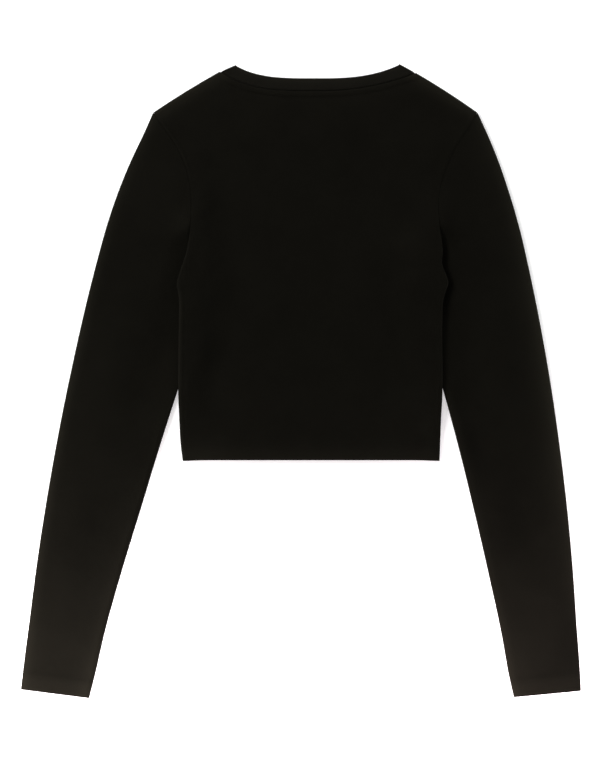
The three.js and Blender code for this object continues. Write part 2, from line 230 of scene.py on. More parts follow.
def top_edge(u, neck):
    """Top edge of a panel at a share u of its width: the left shoulder, the neck curve, and the
    right shoulder. A shoulder is a straight line with a slight outward bulge."""
    place = (np.clip(u, NECK_SHARE, 1 - NECK_SHARE) - 0.5) / (0.5 - NECK_SHARE)
    x, y = neck_curve(NOTCH, NECK_SEAMS[neck], place)
    for side, share in (("left", u / NECK_SHARE), ("right", (1 - u) / NECK_SHARE)):
        corner = np.array([ARM_EDGES[side][-1], SHOULDER_UP])
        way = NOTCH[side] - corner
        turn = 1 if side == "left" else -1
        across = np.array([-way[1], way[0]]) / np.hypot(*way) * turn
        here = np.clip(share, 0, 1)
        bulge = 4 * SHOULDER_BULGE * here * (1 - here)
        on_shoulder = share < 1
        x = np.where(on_shoulder, corner[0] + way[0] * here + across[0] * bulge, x)
        y = np.where(on_shoulder, corner[1] + way[1] * here + across[1] * bulge, y)
    return x, y


def panel_place(share, offset, up, neck):
    """A panel's point in plan. A row is straight between the two side edges; the higher it is,
    the more of the top edge's own shape is added to it."""
    left = body_edge("left", up)
    right = body_edge("right", up)
    x = mix(left, right, share) + offset
    u = np.clip((x - left) / (right - left), 0, 1)
    v = (up - HEM_UP) / (SHOULDER_UP - HEM_UP)
    top_x, top_y = top_edge(u, neck)
    chord = mix(ARM_EDGES["left"][-1], ARM_EDGES["right"][-1], u)
    return x + v * (top_x - chord), up + v * (top_y - SHOULDER_UP), x - left, right - x


# %% [markdown]
# ## Seams, hems and soft folds as relief
#
# On real jersey a seam shows as a narrow valley, with a low ridge beside it where the seam
# allowance lies under the cloth. Where a line of stitches holds the allowance down, the ridge
# ends in a shallow groove. Folds of laid cloth are broad and soft. All of them are heights in
# millimetres added to the surface, so that light finds them from any side.

# %% Relief
def seam_relief(distance, valley=0.75, ridge=0.3, allowance=5.5):
    """A seam at distance 0: a valley, then the seam allowance's plateau, which ends softly."""
    plateau = ease(distance, 0.3, 2.0) * (1 - ease(distance, allowance - 1.4, allowance + 1.2))
    return ridge * plateau - valley * bump(distance, 0, 0.55)


def crown(distance, high, wide):
    """A soft cushion of air inside folded cloth: a quarter ellipse that rises from the edge to
    its full height over its width."""
    t = np.clip(distance / wide, 0, 1)
    return high * np.sqrt(np.maximum(1 - (1 - t) ** 2, 0))


def soft_folds(x, y, folds):
    """Sum of soft patches: the heights of folds, and also the patches of painted light and shade. Each
    is a Gaussian ridge, or trough where its height is negative, around a bent line: across its line it
    fades over its width, and along it over its length."""
    total = np.zeros(np.shape(x))
    for middle_x, middle_y, angle, length, width, height, bend in folds:
        c, s = math.cos(math.radians(angle)), math.sin(math.radians(angle))
        along = (x - middle_x) * c + (y - middle_y) * s
        across = (y - middle_y) * c - (x - middle_x) * s - bend * (along / length) ** 2
        total = total + height * np.exp(-((along / length) ** 2) - (across / width) ** 2)
    return total


# Patches of painted light and shade on the body: lighter and darker zones where light and shade fall,
# such as the painted shade on the slope beside the left tuck and a painted highlight at the lower left
# corner of the hem, with some uneven tone of the cloth.
BODY_PAINTED_LIGHT_AND_SHADE = [
    (-98, 66, 88, 84, 11, -0.17, 0),
    (-95, 202, 92, 46, 11, -0.13, 6),
    (0, 232, 0, 115, 40, -0.07, 0),
    (102, 144, 10, 26, 14, 0.13, 0),
    (-48, -18, 4, 44, 14, 0.09, 4),
    (30, 60, 96, 60, 30, 0.05, 8),
    (-106, -70, 0, 24, 14, 0.24, 0),
    (128, -50, 88, 30, 9, 0.14, 0),
    (124, -62, 60, 12, 6, -0.14, 0),
    (112, -30, 60, 22, 14, 0.1, 4),
]
BODY_FOLDS = [
    (-96, 88, 38, 34, 9, 0.32, 5),
    (-84, 70, 47, 30, 8, -0.22, 4),
    (122, 92, 140, 38, 10, 0.34, -6),
    (108, 70, 131, 30, 8, -0.22, -5),
    (-30, 150, 84, 90, 34, 0.3, 14),
    (62, 120, 97, 100, 30, 0.26, -12),
    (12, 30, 88, 80, 40, -0.25, 8),
    (-78, -10, 95, 60, 22, 0.22, -6),
    (102, -20, 84, 64, 20, 0.22, 8),
    (20, -52, 3, 90, 12, 0.16, 3),
    (18, 258, 2, 62, 7, 0.2, 10),
    (-96, 216, 112, 32, 12, 0.2, 3),
    (126, 214, 70, 34, 12, 0.2, -3),
]

# %% [markdown]
# ## How high the body lies
#
# The sleeves' inner edges are tucked under the body, so the body rides over them near its sides
# and lies flat everywhere else. The height follows the same rule as the solid of the part.

# %% Height of the body over the floor
RIDE = 3.0
TUCK_FROM, TUCK_TO, TUCK_DEEP = -12.0, 160.0, 25.0
RIDE_MARGIN, RIDE_SLOPE = 4.0, 32.0
RIDE_RIGHT = 0.9
RIDE_ENDS = (165.0, 205.0)


def ride_end(up):
    """How much of the body's ride is left above the tuck."""
    return 1 - ease(up, *RIDE_ENDS)


def body_ride(up, from_left, from_right):
    """Height of the body's underside at its distances from both edges: the tucked sleeve's
    height over the tuck, then a smooth slope down to the floor. The right underarm stands a
    little higher."""
    inward = np.minimum(from_left, from_right)
    along = ease(up, -60, -16) * ride_end(up)
    share = np.clip((up - TUCK_FROM) / (TUCK_TO - TUCK_FROM), 0, 1)
    tucked = TUCK_DEEP * np.sin(np.pi * share) + RIDE_MARGIN
    ride = RIDE * along + RIDE_RIGHT * bump(up, 92, 52) * (from_right < from_left)
    return ride * (1 - ease(inward, tucked, tucked + RIDE_SLOPE))


# %% [markdown]
# ## From numbers to meshes
#
# Every cloth piece is a closed thin shell: an outer face, an inner face, and the walls that
# join them. The points come as whole arrays, and the faces are made from arrays of numbers too.
# Each piece gets a UV map in metres of flat cloth, so that its knit follows the cloth.

# %% Making meshes
# Painted light: every point of the cloth stores how much painted highlight or painted shade its colour
# gets, around a rest amount.
PAINTED_LIGHT_REST = 0.1034
PAINTED_LIGHT_GAIN = 0.4483


def grid_faces(numbers, turned=False):
    """The four corners of each cell of a grid of point numbers."""
    a, b = numbers[:-1, :-1], numbers[:-1, 1:]
    c, d = numbers[1:, 1:], numbers[1:, :-1]
    corners = (a, d, c, b) if turned else (a, b, c, d)
    return np.stack(corners, axis=-1).reshape(-1, 4)


def rim_of(numbers):
    """Point numbers around the outside of a grid, back to the first."""
    return np.concatenate([numbers[0], numbers[1:, -1], numbers[-1, -2::-1], numbers[-2::-1, 0]])


def store_painted_light(mesh, amounts):
    """Stores the painted light at each point as 0 to 1, as a point attribute: painted highlight and
    painted shade that the colour mixes in. An amount of 0 is the cloth at rest, 1 has twice its
    lightness, and a little below 0 is darker than at rest."""
    values = np.clip(PAINTED_LIGHT_REST + PAINTED_LIGHT_GAIN * np.ravel(amounts), 0, 1)
    mesh.attributes.new("fade", "FLOAT", "POINT").data.foreach_set("value", values)


def make_piece(name, points, quads, triangles, uv, painted_amounts):
    """A mesh object at the origin from points in millimetres on the table, faces of four and of three
    corners, and for each point a UV point in millimetres and its amount of painted light and shade."""
    corners = np.concatenate([quads.ravel(), triangles.ravel()])
    sizes = np.repeat([4, 3], [len(quads), len(triangles)])
    mesh = bpy.data.meshes.new(name)
    mesh.vertices.add(len(points))
    mesh.vertices.foreach_set("co", ((points + TABLE_SHIFT) * MM).ravel())
    mesh.loops.add(len(corners))
    mesh.loops.foreach_set("vertex_index", corners.astype(np.int32))
    mesh.polygons.add(len(sizes))
    mesh.polygons.foreach_set("loop_start", (np.cumsum(sizes) - sizes).astype(np.int32))
    mesh.polygons.foreach_set("loop_total", sizes.astype(np.int32))
    mesh.polygons.foreach_set("use_smooth", np.full(len(sizes), True))
    mesh.uv_layers.new(name="cloth").data.foreach_set("uv", (uv[corners] * MM).ravel())
    # Stores the painted highlight and painted shade of each point.
    store_painted_light(mesh, painted_amounts)
    mesh.update()
    mesh.validate()
    piece = bpy.data.objects.new(name, mesh)
    bpy.context.scene.collection.objects.link(piece)
    print(f"{name}: {len(points)} points, {2 * len(quads) + len(triangles)} triangles")
    return piece


def make_shell(name, points, quads, uv, painted_amounts):
    """A closed piece of faces with four corners. Its volume decides which way they are wound,
    so that they face outwards."""
    a, b, c, d = (points[quads[:, k]] for k in range(4))
    volume = np.einsum("ij,ij->", a, np.cross(b, c) + np.cross(c, d))
    outwards = quads if volume > 0 else quads[:, ::-1]
    return make_piece(name, points, outwards, np.zeros((0, 3), int), uv, painted_amounts)


# %% [markdown]
# ## The back and the front
#
# A panel is a grid that is fine along its edges, where seams, stitches and rolled edges are, and
# coarse in the middle. Its two faces are a wall apart. At the sides and shoulders each panel
# rolls down, or up, to the seam that joins it to the other. At the hem the cloth turns back on
# itself, so its edge is a small round fold. Armholes and neck end at the seam, where the cloth
# dips into the seam's valley.

# %% Panels
EDGE_STEPS = np.array([
    0, 0.12, 0.35, 0.7, 1.1, 1.6, 2.2, 2.9, 3.7, 4.6,
    5.6, 6.7, 7.8, 9.0, 10.3, 11.8, 13.5, 15.5, 17.7,
])
EDGE_BAND = 20.0
SHOULDER_RUN, NECK_RUN = 42, 206
HEM_STEPS = np.concatenate([EDGE_STEPS[:11], np.arange(6.4, 22, 0.85)])
ROLL_WIDE = 1.3
LEFT_ROLL_WIDE = 3.4
HEM_DROOP = 0.7
STITCH_HIGH = 0.16
BODY_CROWN = 1.1
CROWN_WIDE = 15
FAR_OFF = 1e3
SIDE_ROLL_ENDS = (138.0, 164.0)
EDGE_LEAVES = {"left": 0.7, "right": 0.4, "hem": 0.12}
SET_IN_TO = 6.0
SIDE_SWELL = {"left": 0.45, "right": 0.2}
ARM_RIDGE = (
    [100, 150, 180, 205, 222, 240, 258, 276],
    [0.1, 0.1, 0.03, 0.1, 0.28, 0.22, 0.3, 0.2],
)
HEM_ROWS = (13.9, 18.0)
NECK_ROW = 7.2
LOWER_GROOVE = 0.5
SEAM_LINES = {}


def panel_columns(step):
    """Columns of a panel as shares of its width and offsets: fixed distances near each side,
    and even steps between, with a column exactly at each end of the neck."""
    wide = ARM_EDGES["right"][-1] - ARM_EDGES["left"][-1]
    inset = EDGE_BAND / wide
    notch = (NECK_SHARE - inset) / (1 - 2 * inset)
    near = np.linspace(0, notch, round(SHOULDER_RUN / step) + 1)
    across = np.linspace(notch, 1 - notch, round(NECK_RUN / step) + 1)
    middle = np.concatenate([near, across[1:-1], 1 - near[::-1]])
    share = np.concatenate([np.zeros(len(EDGE_STEPS)), middle, np.ones(len(EDGE_STEPS))])
    offset = np.concatenate([EDGE_STEPS, EDGE_BAND * (1 - 2 * middle), -EDGE_STEPS[::-1]])
    return share, offset


def panel_rows(step):
    """Heights of a panel's rows: close together at the hem and at the top."""
    hem = HEM_UP + HEM_STEPS
    top = SHOULDER_UP - EDGE_STEPS[::-1]
    middle = np.linspace(hem[-1], top[0], round((top[0] - hem[-1]) / step) + 1)
    return np.concatenate([hem, middle[1:-1], top])


def round_edge(distance, reach):
    """Quarter circle: 0 at the edge, rising to 1 at a distance equal to the reach."""
    t = np.clip(distance / reach, 0, 1)
    return np.sqrt(1 - (1 - t) ** 2)


def stitch_grooves(distance, rows, depth, wide=0.6):
    """Shallow grooves along rows of stitches at the given distances from an edge."""
    return -depth * sum(bump(distance, row, wide) for row in rows)


def seam_lines(neck):
    """The seams round a panel as lines of points: both armholes, both shoulders, the neck."""
    ups = np.linspace(UNDERARM_UP, SHOULDER_UP, 90)
    lines = {side: np.stack([body_edge(side, ups), ups], axis=1) for side in SIDES}
    u = np.linspace(NECK_SHARE, 1 - NECK_SHARE, 160)
    lines["neck"] = np.stack(top_edge(u, neck), axis=1)
    for side, ends in (("left", (0, NECK_SHARE)), ("right", (1 - NECK_SHARE, 1))):
        lines["shoulder_" + side] = np.stack(top_edge(np.linspace(*ends, 30), neck), axis=1)
    return lines


def shoulder_distance(x, y, neck):
    """Shortest distance from each point to a shoulder seam of a panel."""
    lines = SEAM_LINES[neck]
    return np.minimum(*(distance_to(x, y, lines["shoulder_" + side]) for side in SIDES))


def panel_relief(x, y, up, from_left, from_right, neck):
    """Relief of a panel's outer face at its points: seam ridges and valleys, a swelling inside
    each side, stitch grooves, a faintly puckered hem, a cushion of air, and the soft folds."""
    lines = SEAM_LINES[neck]
    arms = np.minimum(*(distance_to(x, y, lines[side]) for side in SIDES))
    necks = distance_to(x, y, lines["neck"])
    shoulders = shoulder_distance(x, y, neck)
    sides = np.minimum(from_left, from_right)
    hem = up - HEM_UP
    below = 1 - ease(up, UNDERARM_UP - 8, UNDERARM_UP + 4)
    total = seam_relief(arms, valley=0.15, ridge=1, allowance=4.2) * ease(up, 150, 200)
    total *= curve_through(up, *ARM_RIDGE)
    swell = SIDE_SWELL["left"] * bump(from_left, 4, 7) + SIDE_SWELL["right"] * bump(from_right, 4, 7)
    total += swell * (1 - ease(up, 120, 185))
    total += seam_relief(necks, valley=0.2, ridge=0.6, allowance=5.6)
    total += stitch_grooves(necks, [NECK_ROW], 0.28, 0.7)
    total += seam_relief(shoulders, valley=0, ridge=0.3)
    total += seam_relief(sides, valley=0, ridge=0.4, allowance=4.8) * below
    total += stitch_grooves(hem, HEM_ROWS, 0.05)
    pucker = np.sin(x * 0.83 + 1.3 * np.sin(x * 0.11)) * bump(hem, 16, 4)
    total += 0.05 * pucker
    folded = np.minimum(np.minimum(mix(FAR_OFF, sides, below), shoulders), hem)
    total += crown(folded, BODY_CROWN, CROWN_WIDE) * ease(necks, 2, 20)
    nearest = np.minimum(np.minimum(sides, necks), np.minimum(shoulders, hem))
    return total + soft_folds(x, y, BODY_FOLDS) * ease(nearest, 0.5, 14)


def panel_height(x, y, up, from_left, from_right, neck, facing, face):
    """Height of one face of a panel. The middle between the two panels is a wall above the
    body's ride. The inner face is half a gap from it, the outer face a wall more, less what
    the edges roll in."""
    hem_wall = 1 - ease(up, HEM_UP + 12, HEM_UP + 23)
    cad_wall = mix(CAD_CLOTH, HEM_CLOTH, hem_wall)
    wall = mix(CLOTH, HEM_CLOTH, hem_wall)
    middle = body_ride(up, from_left, from_right) + cad_wall + HALF_GAP
    rolled = mix(EDGE_LEAVES["left"], 1, round_edge(from_left, LEFT_ROLL_WIDE))
    rolled = rolled * mix(EDGE_LEAVES["right"], 1, round_edge(from_right, ROLL_WIDE))
    rolled = mix(1, rolled, 1 - ease(up, *SIDE_ROLL_ENDS))
    drop = rolled * round_edge(shoulder_distance(x, y, neck), ROLL_WIDE)
    outer = HALF_GAP + cad_wall * drop
    if facing > 0:
        outer = outer + panel_relief(x, y, up, from_left, from_right, neck) * drop
    else:
        necks = distance_to(x, y, SEAM_LINES[neck]["neck"])
        outer = outer + stitch_grooves(up - HEM_UP, HEM_ROWS, STITCH_HIGH, LOWER_GROOVE)
        outer = outer + stitch_grooves(necks, [NECK_ROW], STITCH_HIGH, LOWER_GROOVE)
    inner = np.maximum(outer - wall, HALF_GAP)
    half = (outer - inner) / 2 * mix(EDGE_LEAVES["hem"], 1, round_edge(up - HEM_UP, HEM_CLOTH / 2))
    away = (outer + inner) / 2 + (half if face == "outer" else -half)
    return middle + facing * away


def panel_painted_light(x, y, up, from_left, neck):
    """How much painted light a panel gets: painted highlight most along its folded shoulders and its
    hem, a little along its lit left side, and a trace on the neck seam's ridge, plus the body's patches
    of painted light and shade."""
    necks = distance_to(x, y, SEAM_LINES[neck]["neck"])
    total = 1.25 * bump(shoulder_distance(x, y, neck), 0, 9) + 0.45 * bump(up - HEM_UP, 0, 11)
    total += 0.12 * bump(from_left, 1, 5) * (1 - ease(up, 70, UNDERARM_UP))
    return total + 0.12 * bump(necks, 3, 2) + soft_folds(x, y, BODY_PAINTED_LIGHT_AND_SHADE)


def make_panel(name, neck, facing, step):
    """A panel's shell: its outer and inner grids, and the walls that join their rims. Where the
    sides roll, the inner grid's edges are set in by the cloth's thickness."""
    SEAM_LINES[neck] = seam_lines(neck)
    share, offset = (values[None, :] for values in panel_columns(step))
    up = panel_rows(step)[:, None] + 0 * share
    near = (1 - np.clip(np.abs(offset) / SET_IN_TO, 0, 1)) * ((share == 0) | (share == 1))
    set_in = CLOTH * near * (1 - ease(up, *SIDE_ROLL_ENDS)) * np.where(share < 0.5, 1, -1)
    grids = []
    for face, shift in (("outer", 0.0), ("inner", set_in)):
        x, y, from_left, from_right = panel_place(share, offset + shift, up, neck)
        z = panel_height(x, y, up, from_left, from_right, neck, facing, face)
        y = y - HEM_DROOP * bump(np.minimum(from_left, from_right), 0, 14) * bump(up - HEM_UP, 0, 16)
        plan = np.stack([x, y], axis=-1)
        grids.append((np.dstack([plan, z]), plan, panel_painted_light(x, y, up, from_left, neck)))
    points, uv, painted_amounts = (np.stack(parts) for parts in zip(*grids))
    outer, inner = np.arange(painted_amounts.size).reshape(painted_amounts.shape)
    quads = np.concatenate([
        grid_faces(outer),
        grid_faces(inner, turned=True),
        grid_faces(np.stack([rim_of(outer), rim_of(inner)]), turned=True),
    ])
    return make_shell(name, points.reshape(-1, 3), quads, uv.reshape(-1, 2), painted_amounts)


back = make_panel("back_cloth", "back", 1, 2.3)
front = make_panel("front_cloth", "front", -1, 3.6)

# %% [markdown]
# ## The sleeves
#
# A sleeve is one piece of jersey sewn into a tube along the underarm and laid flat. Its two folded
# edges are its outer edge and its underarm seam. The marks give both edges from the armhole to the
# cuff: the outer edge's x and y, the inner edge's x and y, and how much of the armhole's curve is left
# there. The first line across is the armhole itself, and its curve fades out down the sleeve. The other
# tables pair heights on the table with amounts of painted highlight, or with sinking or lift at those
# heights.

# %% Sleeves
SLEEVE_MARKS = {
    "left": [
        (-161.6, 255.0, -109.4, 147.0, 0.8), (-172.8, 231.6, -104.8, 131.3, 0.6),
        (-185.3, 202.1, -101.0, 111.8, 0.4), (-198.5, 164.4, -100.3, 86.9, 0.2),
        (-210.6, 121.0, -104.8, 59.3, 0.1), (-223.9, 67.7, -114.3, 26.4, 0.0),
        (-236.9, 9.1, -126.6, -9.1, 0.0), (-249.8, -54.6, -146.4, -70.9, 0.0),
        (-261.2, -118.6, -165.3, -133.1, 0.0), (-271.2, -182.8, -184.2, -195.3, 0.0),
        (-279.6, -247.3, -201.6, -257.7, 0.0), (-285.8, -295.2, -212.4, -304.8, 0.0),
        (-288.3, -317.0, -217.8, -326.0, 0.0),
    ],
    "right": [
        (191.9, 254.6, 138.0, 147.0, 0.8), (201.8, 230.6, 132.8, 131.5, 0.6),
        (212.4, 200.4, 128.2, 114.0, 0.4), (223.9, 162.1, 125.5, 89.3, 0.2),
        (234.2, 118.3, 127.7, 61.5, 0.1), (245.3, 64.4, 134.9, 28.0, 0.0),
        (255.8, 5.4, 146.0, -8.0, 0.0), (265.3, -58.9, 162.9, -70.5, 0.0),
        (273.3, -123.4, 178.3, -133.7, 0.0), (279.5, -188.1, 192.8, -197.0, 0.0),
        (284.0, -253.0, 206.5, -260.6, 0.0), (287.2, -296.5, 214.2, -303.6, 0.0),
        (288.3, -318.4, 219.0, -325.0, 0.0),
    ],
}
# Patches of painted light and shade on each sleeve. The last two of the right sleeve are painted shadow
# beside the body's raised edge.
SLEEVE_PAINTED_LIGHT_AND_SHADE = {
    "left": [
        (-158, 136, 20, 22, 11, -0.08, 0),
        (-123, 158, 70, 16, 9, 0.22, 0),
        (-137, 12, 75, 26, 10, 0.25, 0),
        (-153, 197, 62, 32, 22, 0.12, 0),
        (-208, 20, 76, 96, 18, 0.16, -6),
        (-219, -157, 76, 36, 17, -0.2, 3),
        (-228, -212, 76, 24, 14, -0.1, 0),
        (-150, -40, 70, 40, 12, 0.06, 0),
    ],
    "right": [
        (218, -138, 100, 46, 20, -0.22, -4),
        (176, -68, 105, 34, 12, -0.24, 0),
        (168, 190, 100, 36, 16, -0.12, 0),
        (196, 12, 100, 50, 14, 0.08, 0),
        (282, -290, 92, 62, 26, -0.22, 0),
        (154, 150, 105, 18, 7, -0.1, 0),
        (148, 84, 90, 30, 5, -0.25, 0),
    ],
}
# Painted highlight along each sleeve's outer fold, at heights on the table: a narrow band, then a wide
# one.
OUTER_EDGE_HIGHLIGHT = {
    "left": (
        [-330, -280, -200, -110, 60, 90, 235, 275],
        [0.75, 0.75, 0.7, 0.95, 1.0, 0.85, 0.7, 1.1],
        [-330, -266, -225, -200, -110, 60, 90, 280],
        [0.25, 0.2, 0.05, 0, 0.15, 0.15, 0, 0.1],
    ),
    "right": (
        [-330, -266, -225, -163, -122, -71, -19, 32, 84, 166, 275],
        [0, 0.1, 0.4, 0.6, 0.75, 0.95, 0.95, 0.95, 0.95, 0.8, 1.0],
        [-330, -266, -225, -163, -122, -71, -19, 32, 84, 166, 275],
        [-0.05, 0, 0.1, 0.3, 0.6, 0.95, 1.05, 1.0, 0.8, 0.5, 0.25],
    ),
}
# Painted highlight along the inner fold: heights, amounts, the band's distance from the fold and its
# width.
INNER_EDGE_HIGHLIGHT = {
    "left": ([-330, -225, -60], [0.3, 0.3, 0.25], 3.0, 8),
    "right": ([-330, -225, -60], [0.85, 0.7, 0.6], 0.0, 6),
}
# Painted highlight right at the inner fold: its amount and width. The lower left sleeve is also darker
# in a narrow line on that fold.
INNER_GLOW = {"left": (0.16, 17), "right": (0.32, 24)}
INNER_DARK = {"left": 0.5, "right": 0.0}
SLEEVE_FOLDS = {
    "left": [
        (-165, 158, -24, 34, 9, 0.4, 6),
        (-158, 140, -22, 36, 10, -0.35, 6),
        (-170, 100, 62, 46, 14, 0.25, 6),
        (-190, 10, 76, 60, 20, 0.22, -6),
        (-215, -110, 78, 70, 16, 0.25, 5),
        (-235, -220, 80, 55, 12, -0.2, 3),
        (-250, -262, 10, 26, 9, 0.2, 2),
    ],
    "right": [
        (186, 200, 28, 34, 10, 0.35, 5),
        (180, 178, 24, 38, 10, -0.3, 5),
        (190, 110, 118, 46, 14, 0.25, 5),
        (205, 0, 101, 60, 20, 0.22, 6),
        (222, -120, 99, 70, 15, 0.22, -5),
        (240, -215, 97, 50, 12, -0.2, 4),
        (250, -268, -8, 26, 9, 0.2, 2),
    ],
}
BESIDE_BODY = {
    "left": ([-20, 30, 90, 120, 140], [0, 0.1, 0.25, 0.2, 0]),
    "right": ([-20, 10, 45, 70, 84, 110, 135, 152], [0, 0.1, 0.35, 0.9, 1.2, 1.1, 0.8, 0]),
}
LIFT_ENDS = {"left": (138.0, 164.0), "right": (145.0, 163.0)}
SLEEVE_REACH = CAD_CLOTH + HALF_GAP
CUFF_DEEP = 18.0
SLEEVE_PUFF = 1.7
PUFF_EDGE = 16.0
LIFT_WIDE = 18.0
LIFT_STARTS = (-2.5, 0.1)
CUFF_LEAVES = 0.15
LEAST_ROOM = 0.04
INNER_ROLL = 0.35
SLEEVE_FACES = [(0.0, SLEEVE_REACH, SLEEVE_REACH), (CLOTH, INNER_ROLL, SLEEVE_REACH - CLOTH)]
RING_STEP = 2.5
ARMHOLE_RINGS = np.array([0, 0.15, 0.4, 0.8, 1.3, 1.9, 2.7, 3.7, 5.0, 6.6, 8.5, 11.0, 14.0])
CUFF_RINGS = np.concatenate([np.arange(21.0, 1.9, -0.95), [1.5, 1.1, 0.75, 0.45, 0.2, 0.0]])
ROLL_ANGLES = np.radians([0, 14, 30, 48, 68, 90])
NEAR_FOLD = np.array([1.0, 2.0, 3.2, 4.6, 6.2, 8.2, 10.8, 14.0])
ACROSS = np.linspace(0, 1, 22)[1:-1]


def armhole_line(side, share):
    """The sleeve's first line: the armhole from the shoulder down to the tuck, moved outwards
    by the seam's gap."""
    ups = [SHOULDER_UP, 258.5, 240, 220, 200, 180, TUCK_ENDS_UP]
    up = curve_through(share, np.linspace(0, 1, len(ups)), ups)
    step = 0.5
    slope = (body_edge(side, up + step) - body_edge(side, up - step)) / (2 * step)
    turn = -1 if side == "left" else 1
    length = np.sqrt(1 + slope**2)
    gap = 2 * HALF_GAP * turn
    return body_edge(side, up) + gap / length, up - gap * slope / length


def sleeve_edges(side):
    """Marks of a sleeve's two edges and of how much of the armhole's curve is left, and the
    distance of each mark down the sleeve's middle."""
    outer_x, outer_y = armhole_line(side, np.array(0.0))
    inner_x, inner_y = armhole_line(side, np.array(1.0))
    marks = np.array([(outer_x, outer_y, inner_x, inner_y, 1.0), *SLEEVE_MARKS[side]], float)
    return marks, lengths_along((marks[:, :2] + marks[:, 2:4]) / 2)


def sleeve_length(side):
    """Length of a sleeve down its middle."""
    return sleeve_edges(side)[1][-1]


def sleeve_place(side, down_at, share):
    """A sleeve's point in plan, at a distance down from the armhole and a share of the way
    from its outer edge to its inner one."""
    marks, down = sleeve_edges(side)
    outer_x, outer_y, inner_x, inner_y, bow = (curve_through(down_at, down, mark) for mark in marks.T)
    arm_x, arm_y = armhole_line(side, share)
    chord_x = mix(marks[0, 0], marks[0, 2], share)
    chord_y = mix(marks[0, 1], marks[0, 3], share)
    x = mix(outer_x, inner_x, share) + bow * (arm_x - chord_x)
    y = mix(outer_y, inner_y, share) + bow * (arm_y - chord_y)
    return x, y, np.hypot(inner_x - outer_x, inner_y - outer_y)


def sleeve_relief(side, x, y, down_at, from_outer, from_inner):
    """Relief of the upper layer: the armhole's valley, the underarm seam, the cuff's hem with
    its stitch rows, a cushion of air and the soft folds, which fade out at the folded edges.
    Beside the body the layer rises to the body's height at the armhole and sinks in a trough
    below it, and under the body it lies flat."""
    covered = ease(y, -60, 0)
    total = -0.1 * bump(down_at, 0, 0.7) - 0.05 * bump(down_at, 2.4, 2.0)
    total += seam_relief(from_inner, valley=0, ridge=0.3, allowance=5.4) * (1 - covered)
    total -= 0.55 * bump(from_inner, 3.1, 0.6) * (1 - covered)
    turn = -1 if side == "left" else 1
    beside = (x - body_edge(side, np.clip(y, HEM_UP, SHOULDER_UP))) * turn
    lift = RIDE * ride_end(y) * ease(y, *LIFT_ENDS[side])
    total += lift * bump(beside, 0, LIFT_WIDE) * ease(beside, *LIFT_STARTS)
    total -= np.interp(y, *BESIDE_BODY[side]) * bump(beside, 1.0, 2.9)
    cuff = sleeve_length(side) - down_at
    total += 2 * (HEM_CLOTH - CAD_CLOTH) * cuff_hem(cuff) + stitch_grooves(cuff, HEM_ROWS, 0.06)
    total += 0.05 * np.sin(from_outer * 0.9 + 1.1 * np.sin(from_outer * 0.13)) * bump(cuff, 16, 4)
    edge = np.minimum(from_outer, from_inner)
    fade = ease(edge, 1.0, 12) * ease(cuff, 1, 24) * ease(down_at, 0, 16)
    tucked = 1 - ease(from_inner, TUCK_DEEP + 3, TUCK_DEEP + 34)
    under_body = covered * (1 - ease(y, 146, 163)) * tucked
    puff = mix(0.7, SLEEVE_PUFF, ease(cuff, 4, 70))
    puff = puff * mix(BODY_CROWN / SLEEVE_PUFF, 1, ease(down_at, 0, 70))
    lifted = mix(crown(edge, 1, PUFF_EDGE), crown(from_outer, 1, PUFF_EDGE), covered) * puff
    return total + (lifted + soft_folds(x, y, SLEEVE_FOLDS[side]) * fade) * (1 - under_body)


def cuff_hem(cuff):
    """How much of the cuff's turned-up hem is under the cloth, at a distance from its edge."""
    return 1 - ease(cuff, CUFF_DEEP - 5, CUFF_DEEP + 5)


def sleeve_painted_light(side, x, y, from_outer, from_inner, cuff):
    """How much painted light a sleeve gets: painted highlight along its outer fold, as a narrow band
    and a wide one, and along the underarm seam where that lies free, darker in a narrow line on the
    inner fold of the lower sleeve, lighter over its hem with a painted highlight at the cuff's folded
    edge, and patches of painted light and shade."""
    total = np.interp(y, *OUTER_EDGE_HIGHLIGHT[side][:2]) * bump(from_outer, 0, 6.5)
    total += np.interp(y, *OUTER_EDGE_HIGHLIGHT[side][2:]) * bump(from_outer, 0, 17)
    inner_at, inner, middle, reach = INNER_EDGE_HIGHLIGHT[side]
    total += np.interp(y, inner_at, inner) * bump(from_inner, middle, reach) * (1 - ease(y, -30, 10))
    glow, glow_wide = INNER_GLOW[side]
    total += glow * bump(from_inner, 0, glow_wide) * (1 - ease(y, -300, -200))
    total -= INNER_DARK[side] * bump(from_inner, 0, 2.6) * (1 - ease(y, -150, -20))
    total += 0.16 * (1 - ease(cuff, CUFF_DEEP - 3, CUFF_DEEP + 2)) + 0.15 * bump(cuff, 0, 10)
    return total + soft_folds(x, y, SLEEVE_PAINTED_LIGHT_AND_SHADE[side])


